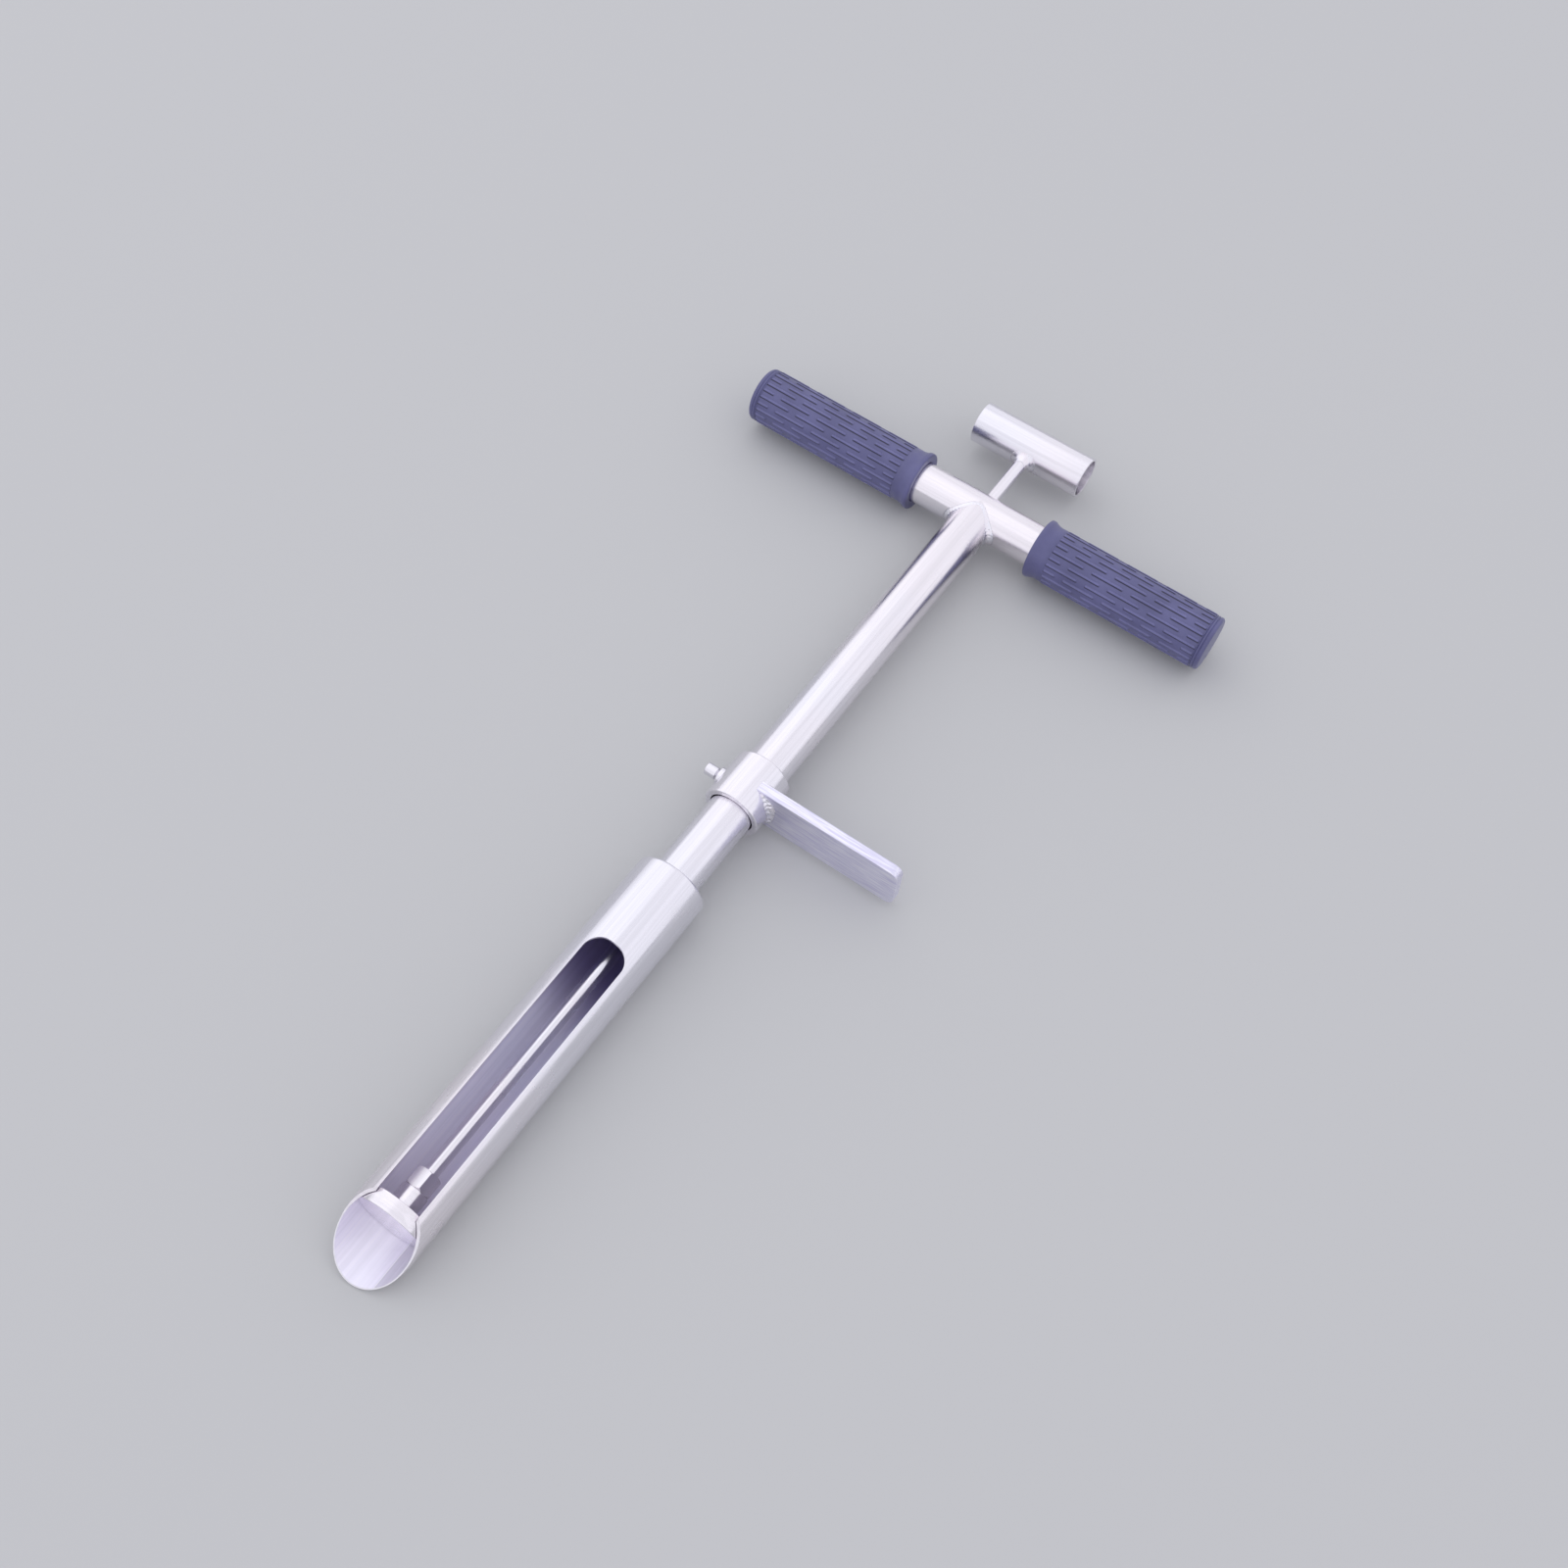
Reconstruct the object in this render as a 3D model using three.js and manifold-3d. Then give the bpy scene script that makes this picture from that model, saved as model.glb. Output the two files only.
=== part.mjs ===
// Soil sampling probe: a hand tool with a windowed scoop barrel, a tubular shaft with a cross
// handle, a foot step that slides on the shaft, and an ejector rod that pushes the core out.
// Millimetres, +Z up. The tool lies on its back: +X points from the scoop's tip to the pull
// handle, +Y to the left grip, and the origin is on the ground under the middle of the tool.
import * as THREE from 'three';
import { mergeVertices } from 'three/addons/utils/BufferGeometryUtils.js';
import Module from 'manifold-3d';

const wasm = await Module();
wasm.setup();

// Driving dimensions. All lengths are in millimetres and all angles in degrees.

// Layout along the shaft
const BARREL_LENGTH = 244; // tip to the face of the shoulder
const SHAFT_LENGTH = 301; // shoulder face to the axis of the cross handle
const PULL_REACH = 62.5; // axis of the cross handle to the axis of the pull handle
const STEP_HEIGHT = 66; // shoulder face to the middle of the foot step's collar
const DISC_SETBACK = 28.5; // tip to the front face of the ejector disc

// Clearances
const WELD_GAP = 0.2; // left between a welded piece and its neighbour
const SEAT_GAP = 0.1; // left between two flat faces that seat on each other
const FIT_GAP = 0.3; // left round a spigot, bush or screwed-on piece
const SLIDE_GAP = 0.5; // radial play of the collar on the shaft
const ROD_GAP = 0.2; // radial play of the rod in its bush and its drilled holes
const DISC_GAP = 0.4; // radial play of the ejector disc in the barrel
const THREAD_GAP = 0.1; // radial play of the clamp screw in its thread

// Barrel
const BARREL_DIAMETER = 40;
const BARREL_WALL = 1.5;
const MOUTH_ANGLE = 45; // between the scoop's cut and the barrel's axis
const EDGE_BEVEL = 3; // length of the ground cutting edge, along the barrel
const EDGE_LAND = 0.3; // thickness left at the cutting edge
const WINDOW_WIDTH = 23;
const WINDOW_SETBACK = 51.5; // shoulder face to the closed end of the window
const WINDOW_CORNER = 9; // radius of the window's two closed corners
const BARREL_TURN = 7; // by which mouth and window face towards the foot bar's side

// Cap that closes the barrel and carries the shaft
const CAP_FLANGE = 4;
const CAP_RIM_RADIUS = 2;
const CAP_SPIGOT = 10; // length inside the barrel
const CAP_NECK = 8; // length inside the shaft
const CAP_LEAD = 1; // chamfer on both spigots

// Bush that guides the rod through the cap
const BUSH_WALL = 1.8;
const BUSH_LEAD = 0.6;

// Shaft and cross handle
const SHAFT_DIAMETER = 25;
const SHAFT_WALL = 2;
const HANDLE_DIAMETER = 25;
const HANDLE_WALL = 1.5;
const HANDLE_LENGTH = 300;

// Rubber grips
const GRIP_LENGTH = 113.5;
const GRIP_DIAMETER = 32.8;
const GRIP_END_WALL = 3.5; // rubber beyond the end of the tube
const LIP_DIAMETER = 35.8;
const LIP_LENGTH = 2.4; // full-size part of the lip
const LIP_FLARE = 3.1; // length over which the lip tapers to the body
const LIP_EDGE = 1.2;
const BAND_LENGTH = 6; // plain band beside the lip
const RIM_LENGTH = 1; // plain rim between the ribbed panel and the ring groove
const END_EDGE = 2; // rounding of the closed end
const RING_SETBACK = 3.6; // outer end to the ring groove
const RING_WIDTH = 0.9;
const RING_DEPTH = 0.5;
const PANEL_DEPTH = 0.4; // ribbed panel below the band and the rim
const RIB_ROWS = 24;
const RIBS_PER_ROW = 4;
const RIB_SPACE = 5.1; // along the row, between two ribs
const RIB_WIDTH = 1.7;
const RIB_HEIGHT = 0.7; // above the panel
const RIB_ROOT = 0.3; // by which a rib runs on inside the grip

// Ejector
const ROD_DIAMETER = 8;
const PULL_DIAMETER = 25;
const PULL_WALL = 1.5;
const PULL_LENGTH = 72.5;
const DISC_THICKNESS = 8;
const DISC_EDGE = 0.6;
const HUB_DIAMETER = 14.6;
const HUB_LENGTH = 10;
const HUB_FLOOR = 4; // metal left between the threaded bore and the disc's face
const NUT_ACROSS_FLATS = 13;
const NUT_LENGTH = 10;
const NUT_CHAMFER = 0.9;
const NUT_TURN = 20;

// Foot step
const COLLAR_WALL = 3.5;
const COLLAR_LENGTH = 30;
const COLLAR_CHAMFER = 1;
const STEP_REACH = 94; // axis of the shaft to the outer end of the bar
const STEP_WIDTH = 30;
const STEP_THICKNESS = 6;
const STEP_CORNER = 5; // radius of the bar's outer corners
const STEP_EDGE = 0.6; // broken edge of the bar

// Clamp screw and its boss
const BOSS_DIAMETER = 10.5;
const BOSS_HEIGHT = 1.3; // above the collar
const BOSS_CHAMFER = 0.4;
const SCREW_DIAMETER = 5;
const SCREW_CHAMFER = 0.8;
const SCREW_NECK = 1.6; // shank showing between the boss and the head
const SCREW_HEAD_DIAMETER = 7;
const SCREW_HEAD_LENGTH = 6.6;
const SCREW_HEAD_EDGE = 1;
const SCREW_SOCKET = 3; // across the flats of the socket
const SCREW_SOCKET_DEPTH = 3.2;

// Welds
const CROTCH_BEAD = 3.2; // radius of the bead beside the shaft
const SADDLE_BEAD = 1.3; // radius of the same bead over the top of the tubes
const BEAD_RIPPLE = 0.22;
const BEAD_RIPPLES = 22;
const SHOULDER_FILLET = 1.8;
const PULL_FILLET = 4;
const STEP_BEAD = 2.1;
const STEP_BEAD_RIPPLE = 0.45;
const STEP_BEAD_RIPPLES = 5;
const STEP_BEAD_SWEEP = 52; // each way from the middle of the bar

// Cutters run past what they cut by this much
const OVERRUN = 2;

// Steps round a circle
const FINE_STEPS = 60;
const ROUND_STEPS = 36;
const SMALL_STEPS = 28;
const SCREW_STEPS = 20;
const ARC_STEPS = 3;
const BEAD_STEPS = 60; // along the bead round the shaft
const STEP_BEAD_STEPS = 20; // along each bead on the foot bar
const BEAD_SIDES = 8;

// Values that follow from the driving dimensions
const barrelRadius = BARREL_DIAMETER / 2;
const barrelBore = barrelRadius - BARREL_WALL;
const shaftRadius = SHAFT_DIAMETER / 2;
const shaftBore = shaftRadius - SHAFT_WALL;
const handleRadius = HANDLE_DIAMETER / 2;
const pullRadius = PULL_DIAMETER / 2;
const rodRadius = ROD_DIAMETER / 2;
const collarBore = shaftRadius + SLIDE_GAP;
const collarRadius = collarBore + COLLAR_WALL;
const gripRadius = GRIP_DIAMETER / 2;

// Stations along X, measured from the tip
const shoulderX = BARREL_LENGTH;
const barrelEndX = shoulderX - CAP_FLANGE;
const capFootX = barrelEndX - CAP_SPIGOT;
const capHeadX = shoulderX + CAP_NECK;
const handleX = shoulderX + SHAFT_LENGTH;
const pullX = handleX + PULL_REACH;
const stepX = shoulderX + STEP_HEIGHT;
const discX = DISC_SETBACK;
const hubX = discX + DISC_THICKNESS;
const nutX = hubX + HUB_LENGTH;
const rodFootX = discX + HUB_FLOOR + FIT_GAP;
const overallLength = pullX + pullRadius;

const steel = { color: 0xc9c8d2, roughness: 0.3, metalness: 1 };
const dullSteel = { color: 0xa9a6b8, roughness: 0.45, metalness: 1 };
const bronze = { color: 0xb08a4e, roughness: 0.4, metalness: 1 };
const rubber = { color: 0x3a3853, roughness: 0.6, metalness: 0 };

const radians = THREE.MathUtils.degToRad;

// A closed geometry as a solid for joining and cutting
function toSolid(geometry) {
  geometry.deleteAttribute('normal');
  geometry.deleteAttribute('uv');
  const merged = mergeVertices(geometry);
  const corners = merged.index.array;
  const kept = [];
  for (let i = 0; i < corners.length; i += 3) {
    const [a, b, c] = [corners[i], corners[i + 1], corners[i + 2]];
    if (a !== b && b !== c && c !== a) kept.push(a, b, c);
  }
  return new wasm.Manifold(new wasm.Mesh({
    numProp: 3,
    vertProperties: new Float32Array(merged.attributes.position.array),
    triVerts: new Uint32Array(kept),
  }));
}

// A finished solid as a named mesh
function piece(name, solid, look) {
  const { vertProperties, triVerts } = solid.getMesh();
  const geometry = new THREE.BufferGeometry();
  geometry.setAttribute('position', new THREE.BufferAttribute(new Float32Array(vertProperties), 3));
  geometry.setIndex(new THREE.BufferAttribute(new Uint32Array(triVerts), 1));
  geometry.computeVertexNormals();
  const mesh = new THREE.Mesh(geometry, new THREE.MeshStandardMaterial(look));
  mesh.name = name;
  return mesh;
}

// A turned solid about the X axis, from an outline of [x, radius] points
function turnedX(outline, steps) {
  const points = outline.map(([x, radius]) => new THREE.Vector2(radius, x));
  return toSolid(new THREE.LatheGeometry(points, steps).rotateZ(-Math.PI / 2));
}

// A turned solid about the Y axis, from an outline of [y, radius] points
function turnedY(outline, steps) {
  const points = outline.map(([y, radius]) => new THREE.Vector2(radius, y));
  return toSolid(new THREE.LatheGeometry(points, steps));
}

// The outline of a plain tube, closed on itself
function tubeOutline(from, to, bore, radius) {
  return [[from, bore], [from, radius], [to, radius], [to, bore], [from, bore]];
}

// The outline of a plain rod, from axis to axis
function rodOutline(from, to, radius) {
  return [[from, 0], [from, radius], [to, radius], [to, 0]];
}

// Points of a quarter arc about a centre, from one angle to another
function arc(centreA, centreB, radius, fromDegrees, toDegrees) {
  return Array.from({ length: ARC_STEPS + 1 }, (_, i) => {
    const angle = radians(THREE.MathUtils.lerp(fromDegrees, toDegrees, i / ARC_STEPS));
    return [centreA + radius * Math.cos(angle), centreB + radius * Math.sin(angle)];
  });
}

// A skin through rings of points, each ring joined to the next and the last to the first
function ringLoop(rings) {
  const count = rings[0].length;
  const positions = rings.flat().flatMap((point) => point.toArray());
  const corners = [];
  for (let i = 0; i < rings.length; i += 1) {
    const here = i * count;
    const next = ((i + 1) % rings.length) * count;
    for (let j = 0; j < count; j += 1) {
      const k = (j + 1) % count;
      corners.push(here + j, here + k, next + k, here + j, next + k, next + j);
    }
  }
  const geometry = new THREE.BufferGeometry();
  geometry.setAttribute('position', new THREE.Float32BufferAttribute(positions, 3));
  geometry.setIndex(corners);
  return geometry;
}

// A weld bead: a round section of changing radius carried along a path of points
function bead(path, radiusAt, outward, closed) {
  const rings = path.map((point, i) => {
    const before = path[closed ? (i - 1 + path.length) % path.length : Math.max(i - 1, 0)];
    const after = path[closed ? (i + 1) % path.length : Math.min(i + 1, path.length - 1)];
    const along = after.clone().sub(before).normalize();
    const across = new THREE.Vector3().crossVectors(along, outward(point)).normalize();
    const out = new THREE.Vector3().crossVectors(across, along);
    const radius = radiusAt(i / (closed ? path.length : path.length - 1));
    return Array.from({ length: BEAD_SIDES }, (_, j) => {
      const angle = (2 * Math.PI * j) / BEAD_SIDES;
      return point.clone()
        .addScaledVector(out, radius * Math.cos(angle))
        .addScaledVector(across, radius * Math.sin(angle));
    });
  });
  if (!closed) {
    rings.unshift(rings[0].map(() => path[0].clone()));
    rings.push(rings[0].map(() => path[path.length - 1].clone()));
  }
  return toSolid(ringLoop(rings));
}

// The barrel: a thin tube with an oblique scoop mouth, ground to an edge from outside,
// and a long window that opens into the mouth
function makeBarrel() {
  const slope = Math.tan(radians(MOUTH_ANGLE));
  const ring = (radius, xOf) => Array.from({ length: FINE_STEPS }, (_, i) => {
    const angle = (2 * Math.PI * i) / FINE_STEPS;
    const height = radius * Math.sin(angle - radians(BARREL_TURN));
    return new THREE.Vector3(xOf(height), radius * Math.cos(angle), radius * Math.sin(angle));
  });
  const edge = barrelBore + EDGE_LAND;
  const cut = (height) => (height + edge) / slope;
  const end = () => barrelEndX - SEAT_GAP;
  const skin = toSolid(ringLoop([
    ring(barrelBore, cut),
    ring(edge, cut),
    ring(barrelRadius, (height) => cut(height) + EDGE_BEVEL),
    ring(barrelRadius, end),
    ring(barrelBore, end),
  ]));
  const windowEndX = shoulderX - WINDOW_SETBACK;
  const halfWidth = WINDOW_WIDTH / 2;
  const corner = Math.min(WINDOW_CORNER, halfWidth);
  const outline = new THREE.Shape([
    [cut(0), halfWidth],
    [cut(0), -halfWidth],
    ...arc(windowEndX - corner, corner - halfWidth, corner, -90, 0),
    ...arc(windowEndX - corner, halfWidth - corner, corner, 0, 90),
  ].map(([x, y]) => new THREE.Vector2(x, y)));
  const window = new THREE.ExtrudeGeometry(outline, {
    depth: barrelRadius + OVERRUN,
    bevelEnabled: false,
  });
  return piece('barrel', skin.subtract(toSolid(window).rotate([BARREL_TURN, 0, 0])), steel);
}

// The turned cap: a spigot in the barrel, a flange with a rounded rim, and a neck in the shaft
function makeBarrelCap() {
  const spigot = barrelBore - FIT_GAP;
  const neck = shaftBore - FIT_GAP;
  const bore = rodRadius + ROD_GAP + BUSH_WALL + FIT_GAP;
  return piece('barrel_cap', turnedX([
    [capFootX, bore],
    [capFootX, spigot - CAP_LEAD],
    [capFootX + CAP_LEAD, spigot],
    [barrelEndX, spigot],
    [barrelEndX, barrelRadius],
    ...arc(shoulderX - CAP_RIM_RADIUS, barrelRadius - CAP_RIM_RADIUS, CAP_RIM_RADIUS, 90, 0),
    [shoulderX, neck],
    [capHeadX - CAP_LEAD, neck],
    [capHeadX, neck - CAP_LEAD],
    [capHeadX, bore],
    [capFootX, bore],
  ], ROUND_STEPS), steel);
}

// The bronze bush in the cap, which the rod slides and turns in
function makeRodBush() {
  const bore = rodRadius + ROD_GAP;
  const radius = bore + BUSH_WALL;
  return piece('rod_bush', turnedX([
    [capFootX, bore],
    [capFootX, radius - BUSH_LEAD],
    [capFootX + BUSH_LEAD, radius],
    [capHeadX - BUSH_LEAD, radius],
    [capHeadX, radius - BUSH_LEAD],
    [capHeadX, bore],
    [capFootX, bore],
  ], SMALL_STEPS), bronze);
}

// The shaft tube, square at the cap and coped to the cross tube
function makeShaft() {
  const tube = turnedX(tubeOutline(shoulderX + SEAT_GAP, handleX, shaftBore, shaftRadius), ROUND_STEPS);
  const half = shaftRadius + OVERRUN;
  const cope = turnedY(rodOutline(-half, half, handleRadius + WELD_GAP), FINE_STEPS);
  return piece('shaft_tube', tube.subtract(cope.translate([handleX, 0, 0])), steel);
}

// The fillet weld round the foot of the shaft, on the shoulder of the cap
function makeShaftWeld() {
  const inner = shaftRadius + WELD_GAP;
  const foot = shoulderX + WELD_GAP;
  const outer = inner + SHOULDER_FILLET;
  return piece('shaft_weld', turnedX([
    [foot, inner],
    ...arc(foot + SHOULDER_FILLET, outer, SHOULDER_FILLET, 180, 270),
    [foot, inner],
  ], ROUND_STEPS), dullSteel);
}

// The cross tube, drilled through both walls for the rod
function makeCrossTube() {
  const half = HANDLE_LENGTH / 2;
  const tube = turnedY(tubeOutline(-half, half, handleRadius - HANDLE_WALL, handleRadius), ROUND_STEPS);
  const reach = handleRadius + OVERRUN;
  const drill = turnedX(rodOutline(-reach, reach, rodRadius + ROD_GAP), SMALL_STEPS);
  const mesh = piece('cross_tube', tube.subtract(drill), steel);
  mesh.position.x = handleX;
  return mesh;
}

// The weld that runs round the saddle where the shaft meets the cross tube
function makeHandleWeld() {
  const count = BEAD_STEPS;
  const path = Array.from({ length: count }, (_, i) => {
    const angle = (2 * Math.PI * i) / count;
    const z = shaftRadius * Math.sin(angle);
    const depth = Math.max(handleRadius ** 2 - z ** 2, SADDLE_BEAD ** 2);
    return new THREE.Vector3(-Math.sqrt(depth), shaftRadius * Math.cos(angle), z);
  });
  const radiusAt = (t) => {
    const side = Math.cos(2 * Math.PI * t) ** 2;
    const ripple = BEAD_RIPPLE * Math.sin(2 * Math.PI * BEAD_RIPPLES * t);
    return THREE.MathUtils.lerp(SADDLE_BEAD, CROTCH_BEAD, side) + ripple;
  };
  const shaft = turnedX(rodOutline(-HANDLE_DIAMETER, 0, shaftRadius + WELD_GAP), ROUND_STEPS);
  const reach = SHAFT_DIAMETER;
  const cross = turnedY(rodOutline(-reach, reach, handleRadius + WELD_GAP), ROUND_STEPS);
  const weld = bead(path, radiusAt, (point) => point, true).subtract(shaft).subtract(cross);
  const mesh = piece('handle_weld', weld, dullSteel);
  mesh.position.x = handleX;
  return mesh;
}

// A rubber grip, closed at its outer end, with a flared lip and a panel of low ribs in rows.
// It is made pointing along +Y from the middle of the cross tube. Every other row is shifted
// by half, from the first row on or from the second.
function makeGrip(name, firstShifted) {
  const endY = HANDLE_LENGTH / 2 + GRIP_END_WALL;
  const lipY = endY - GRIP_LENGTH;
  const bore = handleRadius + FIT_GAP;
  const lip = LIP_DIAMETER / 2;
  const ringY = endY - RING_SETBACK;
  const panel = gripRadius - PANEL_DEPTH;
  const panelStart = lipY + LIP_LENGTH + LIP_FLARE + BAND_LENGTH;
  const panelEnd = ringY - RING_WIDTH / 2 - RIM_LENGTH;
  const body = turnedY([
    [lipY, bore],
    [lipY, lip - LIP_EDGE],
    [lipY + LIP_EDGE, lip],
    [lipY + LIP_LENGTH, lip],
    [lipY + LIP_LENGTH + LIP_FLARE, gripRadius],
    [panelStart, gripRadius],
    [panelStart, panel],
    [panelEnd, panel],
    [panelEnd, gripRadius],
    [ringY - RING_WIDTH / 2, gripRadius],
    [ringY, gripRadius - RING_DEPTH],
    [ringY + RING_WIDTH / 2, gripRadius],
    ...arc(endY - END_EDGE, gripRadius - END_EDGE, END_EDGE, 90, 0),
    [endY, 0],
    [HANDLE_LENGTH / 2 + FIT_GAP, 0],
    [HANDLE_LENGTH / 2 + FIT_GAP, bore],
    [lipY, bore],
  ], ROUND_STEPS);

  // One rib: a long wedge with its ridge outwards and its foot inside the grip
  const foot = ((RIB_WIDTH / 2) * (RIB_HEIGHT + RIB_ROOT)) / RIB_HEIGHT;
  const section = new THREE.Shape([
    new THREE.Vector2(panel + RIB_HEIGHT, 0),
    new THREE.Vector2(panel - RIB_ROOT, foot),
    new THREE.Vector2(panel - RIB_ROOT, -foot),
  ]);
  const rib = (fromY, toY) => {
    const wedge = new THREE.ExtrudeGeometry(section, { depth: toY - fromY, bevelEnabled: false });
    return toSolid(wedge.rotateX(-Math.PI / 2)).translate([0, fromY, 0]);
  };
  const pitch = (panelEnd - panelStart + RIB_SPACE) / RIBS_PER_ROW;
  const ribs = [];
  for (let row = 0; row < RIB_ROWS; row += 1) {
    const shifted = (row % 2 === 0) === firstShifted;
    const firstY = shifted ? panelStart - pitch / 2 : panelStart;
    for (let fromY = firstY; fromY < panelEnd; fromY += pitch) {
      const toY = fromY + pitch - RIB_SPACE;
      const low = fromY > panelStart + RIB_ROOT ? fromY : panelStart - RIB_ROOT;
      const high = toY < panelEnd - RIB_ROOT ? toY : panelEnd + RIB_ROOT;
      ribs.push(rib(low, high).rotate([0, (row * 360) / RIB_ROWS, 0]));
    }
  }
  const mesh = piece(name, body.add(wasm.Manifold.compose(ribs)), rubber);
  mesh.position.x = handleX;
  return mesh;
}

// The ejector disc and its hub, turned in one piece, with a blind threaded bore
function makeEjectorDisc() {
  const radius = barrelBore - DISC_GAP;
  const hub = HUB_DIAMETER / 2;
  const bore = rodRadius + ROD_GAP;
  return piece('ejector_disc', turnedX([
    [discX, 0],
    [discX, radius - DISC_EDGE],
    [discX + DISC_EDGE, radius],
    [hubX - DISC_EDGE, radius],
    [hubX, radius - DISC_EDGE],
    [hubX, hub],
    [nutX - DISC_EDGE, hub],
    [nutX, hub - DISC_EDGE],
    [nutX, bore],
    [discX + HUB_FLOOR, bore],
    [discX + HUB_FLOOR, 0],
  ], ROUND_STEPS), steel);
}

// The lock nut that holds the disc on the rod's thread: a hexagon with chamfered corners
function makeLockNut() {
  const corner = NUT_ACROSS_FLATS / 2 / Math.cos(Math.PI / 6);
  const flat = NUT_ACROSS_FLATS / 2;
  const bore = rodRadius + ROD_GAP;
  const prism = turnedX(rodOutline(0, NUT_LENGTH, corner), 6);
  const chamfer = turnedX([
    [0, bore],
    [0, flat],
    [NUT_CHAMFER, corner],
    [NUT_LENGTH - NUT_CHAMFER, corner],
    [NUT_LENGTH, flat],
    [NUT_LENGTH, bore],
    [0, bore],
  ], ROUND_STEPS);
  const mesh = piece('lock_nut', prism.intersect(chamfer), steel);
  mesh.position.x = nutX + SEAT_GAP;
  mesh.rotation.x = radians(NUT_TURN);
  return mesh;
}

// The rod, from the disc's bore to the pull handle, which its end is coped to
function makeEjectorRod() {
  const rod = turnedX(rodOutline(rodFootX, pullX, rodRadius), SMALL_STEPS);
  const half = rodRadius + OVERRUN;
  const cope = turnedY(rodOutline(-half, half, pullRadius + WELD_GAP), FINE_STEPS);
  return piece('ejector_rod', rod.subtract(cope.translate([pullX, 0, 0])), steel);
}

// The pull handle: a short piece of the same tube, open at both ends
function makeEjectorHandle() {
  const half = PULL_LENGTH / 2;
  const tube = turnedY(tubeOutline(-half, half, pullRadius - PULL_WALL, pullRadius), ROUND_STEPS);
  const mesh = piece('ejector_handle', tube, steel);
  mesh.position.x = pullX;
  return mesh;
}

// The hollow fillet weld between the rod and the pull handle
function makeEjectorWeld() {
  const inner = rodRadius + WELD_GAP;
  const outer = inner + PULL_FILLET;
  const face = -pullRadius;
  const ring = turnedX([
    ...arc(face - PULL_FILLET, outer, PULL_FILLET, -90, 0),
    [0, outer],
    [0, inner],
    [face - PULL_FILLET, inner],
  ], SMALL_STEPS);
  const half = outer + OVERRUN;
  const tube = turnedY(rodOutline(-half, half, pullRadius + WELD_GAP), ROUND_STEPS);
  const mesh = piece('ejector_weld', ring.subtract(tube), dullSteel);
  mesh.position.x = pullX;
  return mesh;
}

// The collar of the foot step, with the screw's threaded hole on its left
function makeStepCollar() {
  const half = COLLAR_LENGTH / 2;
  const ring = turnedX([
    [-half, collarBore],
    [-half, collarRadius - COLLAR_CHAMFER],
    [COLLAR_CHAMFER - half, collarRadius],
    [half - COLLAR_CHAMFER, collarRadius],
    [half, collarRadius - COLLAR_CHAMFER],
    [half, collarBore],
    [-half, collarBore],
  ], FINE_STEPS);
  const drill = turnedY(rodOutline(0, collarRadius + OVERRUN, SCREW_DIAMETER / 2 + THREAD_GAP), SCREW_STEPS);
  return piece('step_collar', ring.subtract(drill), steel);
}

// A solid rod on the collar's axis that pieces welded to the collar are coped with
function collarCope() {
  const half = COLLAR_LENGTH / 2 + OVERRUN;
  return turnedX(rodOutline(-half, half, collarRadius + WELD_GAP), FINE_STEPS);
}

// The foot bar: flat bar on edge, coped to the collar, with two rounded outer corners
function makeFootBar() {
  const edge = STEP_EDGE;
  const half = STEP_WIDTH / 2 - edge;
  const tip = STEP_REACH - edge;
  const corner = STEP_CORNER - edge;
  const outline = new THREE.Shape([
    [0, half],
    [0, -half],
    ...arc(tip - corner, corner - half, corner, -90, 0),
    ...arc(tip - corner, half - corner, corner, 0, 90),
  ].map(([reach, z]) => new THREE.Vector2(-reach, z)).reverse());
  const bar = new THREE.ExtrudeGeometry(outline, {
    depth: STEP_THICKNESS - 2 * edge,
    bevelThickness: edge,
    bevelSize: edge,
    bevelSegments: 1,
  });
  bar.translate(0, 0, edge - STEP_THICKNESS / 2);
  bar.applyMatrix4(new THREE.Matrix4().makeBasis(
    new THREE.Vector3(0, 1, 0),
    new THREE.Vector3(0, 0, 1),
    new THREE.Vector3(1, 0, 0),
  ));

  // The root lies under the welds. It is joined on apart, so that the tread beyond them has
  // flat faces of its own.
  const rootReach = collarRadius + 2 * STEP_BEAD;
  const root = toSolid(new THREE.BoxGeometry(2 * STEP_THICKNESS, 2 * rootReach, 2 * STEP_WIDTH));
  const whole = toSolid(bar).subtract(collarCope());
  const joined = whole.subtract(root).add(whole.intersect(root).asOriginal());
  return piece('foot_bar', joined, dullSteel);
}

// The lumpy weld between one broad face of the bar and the collar; side is -1 for the
// face towards the tip and 1 for the face towards the handle
function makeStepWeld(name, side) {
  const count = STEP_BEAD_STEPS;
  const face = side * (STEP_THICKNESS / 2);
  const path = Array.from({ length: count + 1 }, (_, i) => {
    const angle = radians(THREE.MathUtils.lerp(-STEP_BEAD_SWEEP, STEP_BEAD_SWEEP, i / count));
    return new THREE.Vector3(face, -collarRadius * Math.cos(angle), collarRadius * Math.sin(angle));
  });
  const radiusAt = (t) => {
    const taper = Math.sqrt(Math.sin(Math.PI * THREE.MathUtils.clamp(t, 1 / count, 1 - 1 / count)));
    return STEP_BEAD * taper + STEP_BEAD_RIPPLE * taper * Math.sin(2 * Math.PI * STEP_BEAD_RIPPLES * t);
  };
  const barFace = STEP_THICKNESS / 2 + WELD_GAP;
  const bar = new THREE.BoxGeometry(2 * barFace, 2 * STEP_REACH, 2 * STEP_REACH);
  const weld = bead(path, radiusAt, () => new THREE.Vector3(side, 0, 0), false)
    .subtract(collarCope())
    .subtract(toSolid(bar));
  return piece(name, weld, dullSteel);
}

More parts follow.
